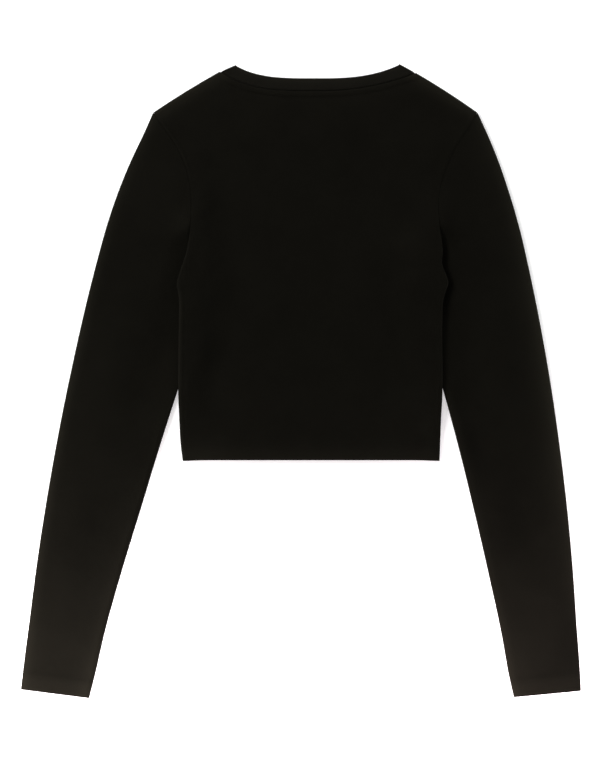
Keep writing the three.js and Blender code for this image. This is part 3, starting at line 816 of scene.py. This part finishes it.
def sleeve_face(side, rings, inset, roll, high):
    """One face of a sleeve as rings of points, with their UV points and amounts of painted light and
    shade. A ring goes over the upper layer, round the inner fold, and back along the lower layer. At a
    fold the face starts at its inset and turns along a quarter ellipse as wide as its roll and as high
    as it is over the middle of the tube."""
    cuff = sleeve_length(side) - rings
    wide = sleeve_place(side, rings, np.array([[0.5]]))[2]
    turn = inset + roll * (1 - np.cos(ROLL_ANGLES))
    start = np.concatenate([turn, turn[-1] + NEAR_FOLD])
    rise = np.concatenate([high * np.sin(ROLL_ANGLES), np.full(len(NEAR_FOLD), high)])
    heights = np.concatenate([rise, np.full(len(ACROSS), high), rise[::-1]])[None, :]
    left = np.broadcast_to(start, (len(rings), len(start)))
    across = start[-1] + (wide - 2 * start[-1]) * ACROSS
    from_outer = np.concatenate([left, across, wide - left[:, ::-1]], axis=1)
    from_inner = wide - from_outer
    x, y, _ = sleeve_place(side, rings, from_outer / wide)
    relief = sleeve_relief(side, x, y, rings + 0 * x, from_outer, from_inner)
    top = SLEEVE_REACH + heights + relief * heights / high
    pinch = (1 - mix(CUFF_LEAVES, 1, round_edge(cuff, HEM_CLOTH / 2))) * HEM_CLOTH / 2
    if inset == 0:
        upper = top - pinch
        grooves = stitch_grooves(cuff, HEM_ROWS, STITCH_HIGH, LOWER_GROOVE) * (heights >= high)
        lower = SLEEVE_REACH - heights + pinch - grooves
    else:
        lower = SLEEVE_REACH - heights - pinch * 0.9
        turned_up = 2 * (HEM_CLOTH - CAD_CLOTH) * cuff_hem(cuff) * heights / high
        upper = np.minimum(top - turned_up + pinch, top)
        upper = np.maximum(upper, lower + LEAST_ROOM * (heights > 0))
    flat = np.concatenate([from_outer, 2 * wide - from_outer[:, -2:0:-1]], axis=1)
    painted_amounts = sleeve_painted_light(side, x, y, from_outer, from_inner, cuff)
    back_again = np.dstack([x, y, lower])[:, -2:0:-1]
    ring = np.concatenate([np.dstack([x, y, upper]), back_again], axis=1)
    uv = np.stack(np.broadcast_arrays(flat, -rings), axis=-1)
    return ring, uv, np.concatenate([painted_amounts, painted_amounts[:, -2:0:-1]], axis=1)


def make_sleeve(side):
    """A sleeve's shell: outer and inner tubes of rings, joined by a rim at each end."""
    last = sleeve_length(side) - CUFF_RINGS
    count = round((last[0] - ARMHOLE_RINGS[-1]) / RING_STEP) + 1
    middle = np.linspace(ARMHOLE_RINGS[-1], last[0], count)
    rings = np.concatenate([ARMHOLE_RINGS, middle[1:-1], last])[:, None]
    tubes = [sleeve_face(side, rings, *face) for face in SLEEVE_FACES]
    points, uv, painted_amounts = (np.stack(parts) for parts in zip(*tubes))
    numbers = np.arange(painted_amounts.size).reshape(painted_amounts.shape)
    outer, inner = np.concatenate([numbers, numbers[:, :, :1]], axis=2)
    quads = np.concatenate([
        grid_faces(outer),
        grid_faces(inner, turned=True),
        grid_faces(np.stack([outer[0], inner[0]]), turned=True),
        grid_faces(np.stack([outer[-1], inner[-1]])),
    ])
    return make_shell(f"sleeve_{side}_cloth", points.reshape(-1, 3), quads, uv.reshape(-1, 2), painted_amounts)


sleeve_left = make_sleeve("left")
sleeve_right = make_sleeve("right")

# %% [markdown]
# ## The neckband
#
# The band is a strip of rib folded lengthways, with both raw edges sewn into the neck seam. So
# its section is a long narrow U: an outer layer, a round free edge, and an inner layer. That
# section is carried once round the neck: along the back, round the left and right shoulder
# folds, and along the front underneath. The ribs run across the strip, and each is a small
# ridge of its own in the mesh.

# %% Neckband
BAND_TOP = (311.7, 3.6, 2.8)
BAND_WIDE = 13.0
BAND_REACH = {"back": 1.75, "front": 1.35}
FLOOR_GAP = 0.01
BAND_LAYER = 0.62
BAND_START = 2.4
BAND_TURN_POWER = 10
BAND_FOLDS = 14
BAND_PUFF, BAND_SEAM_LOW = 0.18, 0.35
RIB_PITCH = 1.35
RIB_HIGH = 0.07
RIB_TAPER = 1.6
SECTIONS_PER_RIB = 4
SECTION_STEP = 0.8
LEAST_ROUND = 0.05


def outward_fold(side):
    """Direction in plan in which the band's fold at one shoulder bulges, and the free edge's
    point at that fold, set back by the fold's own radius."""
    way = PEAK[side] - NOTCH[side]
    turn = 1 if side == "left" else -1
    outward = np.array([-way[1], way[0]]) / np.hypot(*way) * turn
    reach = (BAND_REACH["back"] + BAND_REACH["front"]) / 2
    return outward, PEAK[side] - outward * reach


def band_half(half, places):
    """Points on the seam line and on the free edge of the band's back or front half, side by
    side, at places from -1 to 1, and the seam line's length."""
    curve = NECK_SEAMS[half]
    ends = {}
    for side, end in (("left", -1), ("right", 1)):
        near = np.array(neck_curve(NOTCH, curve, end * 0.98))
        way = near - NOTCH[side]
        ends[side] = NOTCH[side] + way / np.hypot(*way) * BAND_START
    fine = np.linspace(-1, 1, 801)
    line = np.stack(neck_curve(ends, curve, fine), axis=1)
    normal = left_of(line)
    free_ends = {side: outward_fold(side)[1] for side in SIDES}
    if half == "back":
        free = np.stack(neck_curve(free_ends, BAND_TOP, fine), axis=1)
    else:
        inside = line + normal * (2 * HALF_GAP + BAND_WIDE)
        turned = (np.abs(fine) ** BAND_TURN_POWER)[:, None]
        free = mix(inside, np.where(fine[:, None] < 0, free_ends["left"], free_ends["right"]), turned)
    seam = line + normal * 2 * HALF_GAP
    length = lengths_along(seam)
    both = np.concatenate([seam, free], axis=1)
    return points_at(length[-1] * (places + 1) / 2, length, both), length[-1]


def band_face(run, centre, radius):
    """One face of the folded strip's section: out along the strip, round the free edge in half
    a circle, and back. A point is a distance from the seam, and one from the plane between
    the band's two halves."""
    flat = np.linspace(0, 1, 9)
    turn = np.radians(np.linspace(90, -90, 9))[1:-1]
    far = np.concatenate([run * flat, run + radius * np.cos(turn), run * flat[::-1]], axis=1)
    top = centre + radius + 0 * flat
    return far, np.concatenate([top, centre + radius * np.sin(turn), top - 2 * radius], axis=1)


def band_section(wide, reach, ribs):
    """Points once round the folded strip's section, as the same two distances. The outer face
    goes round first, with the rib's ridge, a slight puff and a dip at the seam, and the inside
    of the U follows it back."""
    radius = (reach - HALF_GAP) / 2
    centre = (reach + HALF_GAP) / 2
    run = wide - radius
    far, away = band_face(run, centre, radius)
    inner_far, inner_away = band_face(run, centre, np.maximum(radius - BAND_LAYER, LEAST_ROUND))
    ridge = ribs * np.sin(np.pi * np.clip(far / RIB_TAPER, 0, 0.5)) * np.sign(away - centre + 1e-6)
    puff = BAND_PUFF * np.sin(np.pi * far / wide) - BAND_SEAM_LOW * bump(far, 0, 0.9)
    away = away + ridge + puff * (away > centre)
    far = np.concatenate([far, inner_far[:, ::-1]], axis=1)
    return far, np.concatenate([away, inner_away[:, ::-1]], axis=1)


def band_run(half, facing):
    """Sections along one half of the band. Each is a row of eight numbers: its seam point, its
    free edge's point, the direction in which its outer layer faces, and its reach."""
    length = band_half(half, np.array([-1.0, 1.0]))[1]
    places = np.linspace(-1, 1, round(length / RIB_PITCH) * SECTIONS_PER_RIB + 1)
    rest = np.tile([0, 0, facing, BAND_REACH[half]], (len(places), 1))
    return np.concatenate([band_half(half, places)[0], rest], axis=1), length


def band_fold(side, back_end, front_end):
    """Sections between the ends of the two halves at one shoulder, turning by half a circle."""
    share = np.arange(1, BAND_FOLDS)[:, None] / BAND_FOLDS
    rows = mix(back_end, front_end, share)
    rows[:, 4:6] = outward_fold(side)[0] * np.sin(np.pi * share)
    rows[:, 6:7] = np.cos(np.pi * share)
    return rows


def make_neckband():
    """The band's closed loop of sections, with a rib every RIB_PITCH: along the back, round the
    right fold, along the front and round the left fold."""
    upper, upper_long = band_run("back", 1)
    under, under_long = band_run("front", -1)
    right = band_fold("right", upper[-1], under[-1])
    left = band_fold("left", upper[0], under[0])
    rows = np.concatenate([upper, right, under[::-1], left[::-1]])
    seam, free, normal, reach = rows[:, :2], rows[:, 2:4], rows[:, 4:7], rows[:, 7:]
    count = np.arange(len(rows))[:, None]
    wide = np.linalg.norm(free - seam, axis=1, keepdims=True)
    ribs = RIB_HIGH * np.sin(2 * np.pi * count / SECTIONS_PER_RIB)
    far, away = band_section(wide, reach, ribs)
    plan = seam[:, None] + far[..., None] * ((free - seam) / wide)[:, None]
    plan = plan + normal[:, None, :2] * away[..., None]
    high = np.maximum(CAD_CLOTH + HALF_GAP + normal[:, 2:] * away, FLOOR_GAP)
    points = np.concatenate([plan, high[..., None]], axis=-1).reshape(-1, 3)
    numbers = np.arange(far.size).reshape(far.shape)
    looped = np.concatenate([numbers, numbers[:1]], axis=0)
    looped = np.concatenate([looped, looped[:, :1]], axis=1)
    around = np.arange(far.shape[1]) * SECTION_STEP
    along = count * RIB_PITCH / SECTIONS_PER_RIB
    uv = np.stack(np.broadcast_arrays(along, around), axis=-1).reshape(-1, 2)
    print(f"neckband: {upper_long + under_long:.0f} mm round its seam")
    # The band is painted lighter along its free folded edge: a painted highlight.
    return make_shell("neckband_rib", points, grid_faces(looped), uv, 0.4 * bump(far, wide, 4.5))


neckband = make_neckband()

# %% [markdown]
# ## Inside the seams
#
# Where two pieces are sewn together, their edges turn inwards, and an overlock stitch binds
# them. That narrow binding lies between the layers and closes the seam from below. It is a
# flat ribbon carried along the seam line.

# %% Seam bindings
BINDING = (1.5, 0.12)
BINDING_ROUND = 12
SEAM_THREAD = (0.14, 0.2)
THREAD_SUNK = 0.04
NECK_THREADS = {"back": 1.15, "front": -0.95}


def make_binding(name, line, half_size, height):
    """A ribbon with round edges along a seam line, at a height: each section is an ellipse
    across the line, and the last sections shrink to close the ends."""
    half_wide, half_thick = half_size
    across = left_of(line)
    angle = np.linspace(0, 2 * np.pi, BINDING_ROUND + 1)[:-1]
    shrink = np.ones((len(line), 1))
    shrink[[0, -1]] = 0.02
    wide = np.cos(angle) * half_wide * shrink
    high = np.sin(angle) * half_thick * shrink
    x = line[:, :1] + across[:, :1] * wide
    y = line[:, 1:] + across[:, 1:] * wide
    z = np.reshape(height, (-1, 1)) + high
    points = np.stack([x, y, z], axis=-1).reshape(-1, 3)
    numbers = np.arange(len(points)).reshape(x.shape)
    looped = np.concatenate([numbers, numbers[:, :1]], axis=1)
    caps = [
        [ring[0], ring[k + 1], ring[k]]
        for ring in (numbers[0], numbers[-1][::-1])
        for k in range(1, BINDING_ROUND - 1)
    ]
    uv = np.stack(np.broadcast_arrays(angle * 0.5, lengths_along(line)[:, None]), axis=-1)
    painted_amounts = np.zeros(len(points))
    return make_piece(name, points, grid_faces(looped), np.array(caps), uv.reshape(-1, 2), painted_amounts)


def armhole_seam(side):
    """The armhole's seam from the shoulder to the tuck, in the middle of its gap, and the
    height of the sleeve's cloth along it."""
    share = np.linspace(0.012, 1, 120)
    x, y = armhole_line(side, share)
    turn = 1 if side == "left" else -1
    wide = sleeve_place(side, 0.0, share)[2]
    relief = sleeve_relief(side, x, y, 0 * share, share * wide, (1 - share) * wide)
    return np.stack([x + HALF_GAP * turn, y], axis=1), 2 * SLEEVE_REACH + relief


def neck_seam(half):
    """The neck seam of the back or the front, in the middle of its gap."""
    line = np.stack(neck_curve(NOTCH, NECK_SEAMS[half], np.linspace(-0.985, 0.985, 200)), axis=1)
    return line + left_of(line) * HALF_GAP


MIDDLE_HIGH = CAD_CLOTH + HALF_GAP
bindings = []
for side in SIDES:
    line, top = armhole_seam(side)
    middle = MIDDLE_HIGH + RIDE * ride_end(line[:, 1])
    thread_high = top - SEAM_THREAD[1] - THREAD_SUNK
    bindings.append(make_binding(f"armhole_binding_{side}", line, BINDING, middle))
    bindings.append(make_binding(f"armhole_thread_{side}", line, SEAM_THREAD, thread_high))
for half, offset in NECK_THREADS.items():
    line = neck_seam(half)
    bindings.append(make_binding(f"neck_binding_{half}", line, BINDING, MIDDLE_HIGH))
    bindings.append(make_binding(f"neck_thread_{half}", line, SEAM_THREAD, MIDDLE_HIGH + offset))

# %% [markdown]
# ## The stitches
#
# A coverstitch machine holds the hems and the neck's seam allowance down. On the right side of
# the cloth it leaves straight rows of stitches, each a few millimetres of thread that dips into
# the cloth at both ends. One small arched bead is copied along every row, with few faces,
# because there are hundreds.

# %% Stitches
STITCH_LONG = 2.7
STITCH_PITCH = 3.1
THREAD_WIDE = 0.15
THREAD_LIFT = 0.06
TIP_LOW = 0.12
SUNK = 0.05


def bead():
    """One stitch: rings of six points along a thread that is thin and low at both ends and
    full in the middle, closed by a point at each end."""
    along = np.linspace(-1, 1, 7)[1:-1]
    full = np.sqrt(1 - along**2)
    angle = np.linspace(0, 2 * np.pi, 7)[:-1]
    x = np.repeat(along * STITCH_LONG / 2, 6)
    y = (full[:, None] * np.cos(angle) * THREAD_WIDE).ravel()
    z = (full[:, None] * (np.sin(angle) * THREAD_WIDE + THREAD_LIFT)).ravel()
    tips = [[-STITCH_LONG / 2, 0, -TIP_LOW], [STITCH_LONG / 2, 0, -TIP_LOW]]
    points = np.concatenate([np.stack([x, y, z], axis=1), tips])
    rings = np.arange(30).reshape(5, 6)
    closed = np.concatenate([rings, rings[:, :1]], axis=1)
    quads = grid_faces(closed)
    first, last = len(points) - 2, len(points) - 1
    ends = [[first, closed[0, k + 1], closed[0, k]] for k in range(6)]
    ends += [[last, closed[4, k], closed[4, k + 1]] for k in range(6)]
    return points, quads, np.array(ends)


def make_stitches(name, rows):
    """All the stitches of one seam. A row is a line of points in space and a facing, 1 up or
    -1 down. Along it a stitch is set every pitch, in the direction of the line there."""
    points, quads, ends = bead()
    centres, ways, facings = [], [], []
    for line, facing in rows:
        length = lengths_along(line)
        count = int(length[-1] // STITCH_PITCH)
        at = (np.arange(count) + 0.5) * length[-1] / count
        centres.append(points_at(at, length, line))
        ways.append(points_at(at + 1, length, line) - points_at(at - 1, length, line))
        facings.append(np.full(count, facing))
    centre, way = np.concatenate(centres), np.concatenate(ways)
    way /= np.linalg.norm(way, axis=1, keepdims=True)
    up = np.zeros_like(way)
    up[:, 2] = np.concatenate(facings)
    side = np.cross(up, way)
    side /= np.linalg.norm(side, axis=1, keepdims=True)
    up = np.cross(way, side)
    placed = (
        centre[:, None]
        + points[:, 0:1] * way[:, None]
        + points[:, 1:2] * side[:, None]
        + (points[:, 2:3] - SUNK) * up[:, None]
    ).reshape(-1, 3)
    total = len(centre)
    first = (np.arange(total) * len(points))[:, None, None]
    all_quads = (quads + first).reshape(-1, 4)
    all_ends = (ends + first).reshape(-1, 3)
    uv = np.tile(points[:, :2], (total, 1))
    print(f"{name}: {total} stitches")
    return make_piece(name, placed, all_quads, all_ends, uv, np.zeros(len(placed)))


def panel_row(neck, facing, up):
    """A row of stitches across a panel, at a height above its hem."""
    share = np.linspace(0.006, 0.994, 240)
    ups = np.full_like(share, up)
    x, y, from_left, from_right = panel_place(share, 0 * share, ups, neck)
    z = panel_height(x, y, ups, from_left, from_right, neck, facing, "outer")
    return np.stack([x, y, z], axis=1), facing


def neck_row(neck, facing):
    """The row of stitches that follows the neck seam below it, far from the sides."""
    u = np.linspace(NECK_SHARE + 0.004, 1 - NECK_SHARE - 0.004, 400)
    line = np.stack(top_edge(u, neck), axis=1)
    line = line - left_of(line) * NECK_ROW
    x, y = line.T
    up = np.full_like(x, SHOULDER_UP - 8)
    far = np.full_like(x, 60.0)
    z = panel_height(x, y, up, far, far, neck, facing, "outer")
    return np.stack([x, y, z], axis=1), facing


def cuff_row(side, row, layer):
    """A row of stitches round a cuff, on its upper or lower layer."""
    share = np.linspace(0.03, 0.97, 120)
    at = np.full_like(share, sleeve_length(side) - row)
    x, y, wide = sleeve_place(side, at, share)
    relief = sleeve_relief(side, x, y, at, share * wide, (1 - share) * wide)
    z = 2 * SLEEVE_REACH + relief if layer > 0 else np.full_like(x, STITCH_HIGH)
    return np.stack([x, y, z], axis=1), layer


stitches = [make_stitches("neck_topstitch", [neck_row("back", 1), neck_row("front", -1)])]
for half, facing in (("back", 1), ("front", -1)):
    rows = [panel_row(half, facing, HEM_UP + row) for row in HEM_ROWS]
    stitches.append(make_stitches(f"hem_stitch_{half}", rows))
for side in SIDES:
    rows = [cuff_row(side, row, layer) for row in HEM_ROWS for layer in (1, -1)]
    stitches.append(make_stitches(f"cuff_stitch_{side}", rows))

# %% [markdown]
# ## Shader maths in Python
#
# A node material is a formula. One small class wraps a socket, so that the formula can be
# written with + - and *, and each sign adds its Math node. Every other node is made by one
# method, which sets the node's settings first and then its sockets.

# %% Shader maths
class Wire:
    """A socket of a material that can be used in sums."""

    def __init__(self, finish, socket):
        self.finish, self.socket = finish, socket

    def maths(self, operation, *others):
        """A Math node whose first value is this socket."""
        values = dict(enumerate((self, *others)))
        return self.finish.node("ShaderNodeMath", {"operation": operation}, values)

    def __add__(self, other):
        return self.maths("ADD", other)

    def __sub__(self, other):
        return self.maths("SUBTRACT", other)

    def __mul__(self, other):
        return self.maths("MULTIPLY", other)

    def __truediv__(self, other):
        return self.maths("DIVIDE", other)


class Finish:
    """A material that is built node by node."""

    def __init__(self, name):
        self.material = bpy.data.materials.new(name)
        self.material.use_nodes = True
        self.tree = self.material.node_tree
        self.tree.nodes.clear()

    def node(self, kind, settings=None, sockets=None, output=0):
        """Adds a node, sets its settings, then its sockets by name or number."""
        made = self.tree.nodes.new(kind)
        for name, value in (settings or {}).items():
            setattr(made, name, value)
        for name, value in (sockets or {}).items():
            if isinstance(value, Wire):
                self.tree.links.new(value.socket, made.inputs[name])
            else:
                made.inputs[name].default_value = value
        return Wire(self, made.outputs[output]) if made.outputs else None

    def surface(self, sockets):
        """Adds the Principled shader with these sockets, and the output."""
        shader = self.node("ShaderNodeBsdfPrincipled", None, sockets)
        self.node("ShaderNodeOutputMaterial", None, {"Surface": shader})
        return self.material


# %% [markdown]
# ## The jersey
#
# Single jersey shows columns of small V-shaped loops, called wales, about 0.7 mm apart, with
# about 0.55 mm from loop to loop. Each V has two slanting legs. The bump's height is worked out
# from the UV map: a groove between the wales, times a wave along each leg. The colour is a warm
# near-black with a faint cloudy unevenness, and a little fibre on the surface gives a soft
# sheen, most of all where the cloth curves away.

# %% Jersey and rib
TURN = 2 * math.pi
REST_SHARE = 1 / 1.3
# How much lighter the colour of full painted highlight is than the cloth's own colours.
LIT_COLOUR_GAIN = 3.0


def knit_finish(name, wale, course, colour, light_colour, depth, sheen):
    """A knitted finish from its wale and course sizes in metres, two colours that its cloudy unevenness
    goes between, the depth of its bump and the strength of its sheen. Each point's painted light and
    shade mixes in a lighter colour: a painted highlight above the rest amount, and a painted shade
    below it."""
    finish = Finish(name)
    cloth = {"Vector": finish.node("ShaderNodeTexCoord", output="UV")}
    objects = finish.node("ShaderNodeTexCoord", output="Object")

    def noise(scale, detail):
        """Noise of a scale that lies still on the object."""
        sockets = {"Vector": objects, "Scale": scale, "Detail": detail}
        return finish.node("ShaderNodeTexNoise", None, sockets)

    def blend(share, low, high):
        """The colour at a share of the way from the low one to the high one."""
        return finish.node("ShaderNodeMix", {"data_type": "RGBA"}, {0: share, 6: low, 7: high}, 2)

    drift = noise(90.0, 2.0)
    column = finish.node("ShaderNodeSeparateXYZ", None, cloth, "X") / wale + drift * 0.8
    groove = (column * math.pi).maths("SINE").maths("ABSOLUTE")
    lean = column.maths("PINGPONG", 0.5)
    row = finish.node("ShaderNodeSeparateXYZ", None, cloth, "Y") / course + lean * 1.2 + drift * 0.6
    leg = (row * TURN).maths("SINE") * 0.5 + 0.5
    height = groove * (leg * 0.45 + 0.55)
    relief = {"Height": height + noise(2600.0, 2.0) * 0.35, "Strength": depth, "Distance": 0.0002}
    grain = noise(420.0, 3.0)
    share = (noise(30.0, 5.0) - 0.5) * 1.5 + (grain - 0.5) * 1.4 + (height - 0.5) * 0.5 + 0.5
    clamped = share.maths("MAXIMUM", 0.0).maths("MINIMUM", 1.0)
    at_rest = blend(clamped, *((*(REST_SHARE * c for c in tone), 1) for tone in (colour, light_colour)))
    # The lighter colour that the painted highlight mixes in.
    lit_colour = tuple(LIT_COLOUR_GAIN * (a + b) / 2 for a, b in zip(colour, light_colour))
    # Each point's stored painted light and shade.
    painted_amounts = finish.node("ShaderNodeAttribute", {"attribute_name": "fade"}, None, "Fac")
    return finish.surface({
        "Base Color": blend(painted_amounts, at_rest, (*lit_colour, 1)),
        "Roughness": grain * 0.1 + 0.84,
        "Specular IOR Level": 0.01,
        "Sheen Weight": sheen,
        "Sheen Roughness": 0.5,
        "Sheen Tint": (1.0, 0.95, 0.88, 1),
        "Normal": finish.node("ShaderNodeBump", None, relief),
    })


jersey = knit_finish(
    "black_jersey", 0.0007, 0.00055, (0.0033, 0.0030, 0.0021), (0.0050, 0.0046, 0.0033), 0.5, 0.02
)
rib = knit_finish(
    "black_rib", 0.0007, 0.0006, (0.0049, 0.0045, 0.0033), (0.0072, 0.0066, 0.0049), 0.5, 0.03
)
thread = knit_finish(
    "black_thread", 0.0004, 0.0003, (0.0036, 0.0033, 0.0024), (0.0052, 0.0048, 0.0035), 0.3, 0.02
)
print("finishes:", jersey.name, rib.name, thread.name)

# %% [markdown]
# ## Joining the pieces to the part
#
# Each cloth shell stands for its solid, rides on the part's one body, and prints half its surface, the
# size to which it was cut. A panel's cut is what shows of it, without the hem's turned-up part.

# %% Riding, replacing and cut sizes
def flat_area(piece):
    """Half the surface of a shell in square metres."""
    mesh = piece.data
    areas = np.empty(len(mesh.polygons))
    mesh.polygons.foreach_get("area", areas)
    return areas.sum() / 2


GARMENT = [
    (back, "back", "jersey", jersey),
    (front, "front", "jersey", jersey),
    (sleeve_left, "sleeve_left", "jersey", jersey),
    (sleeve_right, "sleeve_right", "jersey", jersey),
    (neckband, "neckband", "rib", rib),
]
for piece, node, slot, finish in GARMENT:
    piece.data.materials.append(finish)
    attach(piece, "root")
    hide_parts(node)
    print(f"{piece.name}: half surface {flat_area(piece):.4f} square metres")
for piece in (*stitches, *bindings):
    piece.data.materials.append(thread)
    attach(piece, "root")

# %% [markdown]
# ## The floor and the light
#
# The floor is white and just bright enough to become pure white in the picture, and it glows a
# little, like a light table, so that shadows on it stay faint. Soft light from all around fills
# every shade. A lamp at the upper left gives seams and folds their light and dark sides. Low
# strips on all four sides graze the edges, and two soft spots over the cuffs make the sleeves
# grow lighter towards them.

# %% Floor and light
floor_mesh = bpy.data.meshes.new("floor")
floor_mesh.from_pydata([(-4, -4, 0), (4, -4, 0), (4, 4, 0), (-4, 4, 0)], [], [(0, 1, 2, 3)])
floor = bpy.data.objects.new("floor", floor_mesh)
bpy.context.scene.collection.objects.link(floor)
paper = Finish("white_floor")
speckle = paper.node("ShaderNodeTexNoise", None, {"Scale": 8.0, "Detail": 2.0})
whites = {0: speckle, 6: (0.93, 0.93, 0.93, 1), 7: (0.95, 0.95, 0.945, 1)}
floor_mesh.materials.append(paper.surface({
    "Base Color": paper.node("ShaderNodeMix", {"data_type": "RGBA"}, whites, 2),
    "Roughness": 0.9,
    "Specular IOR Level": 0.1,
    "Emission Color": (1, 1, 1, 1),
    "Emission Strength": 0.3,
}))

world = bpy.data.worlds.new("soft_light")
world.use_nodes = True
sky = world.node_tree.nodes["Background"].inputs
sky["Color"].default_value = (1, 1, 1, 1)
sky["Strength"].default_value = 0.3
bpy.context.scene.world = world
bpy.context.scene.view_settings.view_transform = "Standard"


def add_lamp(name, kind, place, aim, power, settings):
    """A lamp at a place, turned towards its aim, with the settings of its kind."""
    data = bpy.data.lights.new(name, kind)
    data.energy = power
    for setting, value in settings.items():
        setattr(data, setting, value)
    lamp = bpy.data.objects.new(name, data)
    bpy.context.scene.collection.objects.link(lamp)
    lamp.location = place
    way = mathutils.Vector(aim) - mathutils.Vector(place)
    lamp.rotation_euler = way.to_track_quat("-Z", "Y").to_euler()
    lamp.visible_camera = kind != "AREA"


AREA_LAMPS = [
    ("key_upper_left", (-1.5, 1.1, 1.0), (0, 0, 0), (0.6, 0.6), 40),
    ("side_left", (-0.68, -0.02, 0.11), (0, -0.02, 0), (0.9, 0.1), 3.2),
    ("side_right", (0.68, -0.02, 0.11), (0, -0.02, 0), (0.9, 0.1), 3.4),
    ("below_cuffs", (0, -0.75, 0.12), (0, -0.1, 0), (0.9, 0.1), 2.5),
    ("above_neck", (0, 0.72, 0.14), (0, 0.2, 0), (0.7, 0.1), 1.5),
]
SPOTS = [
    ("cuff_left", (-0.27, -1.1, 1.1), (-0.256, -0.6, 0), 430, (1.0, 0.89, 0.92)),
    ("cuff_right", (0.27, -1.1, 1.1), (0.25, -0.6, 0), 345, (1.0, 0.84, 0.9)),
]
SOFT_CONE = {"spot_size": math.radians(41), "spot_blend": 1.0, "shadow_soft_size": 0.12}
for name, place, aim, (long, deep), power in AREA_LAMPS:
    add_lamp(name, "AREA", place, aim, power, {"shape": "RECTANGLE", "size": long, "size_y": deep})
for name, place, aim, power, colour in SPOTS:
    add_lamp(name, "SPOT", place, aim, power, {**SOFT_CONE, "color": colour})
print(f"{len(AREA_LAMPS) + len(SPOTS)} lamps over a white floor")
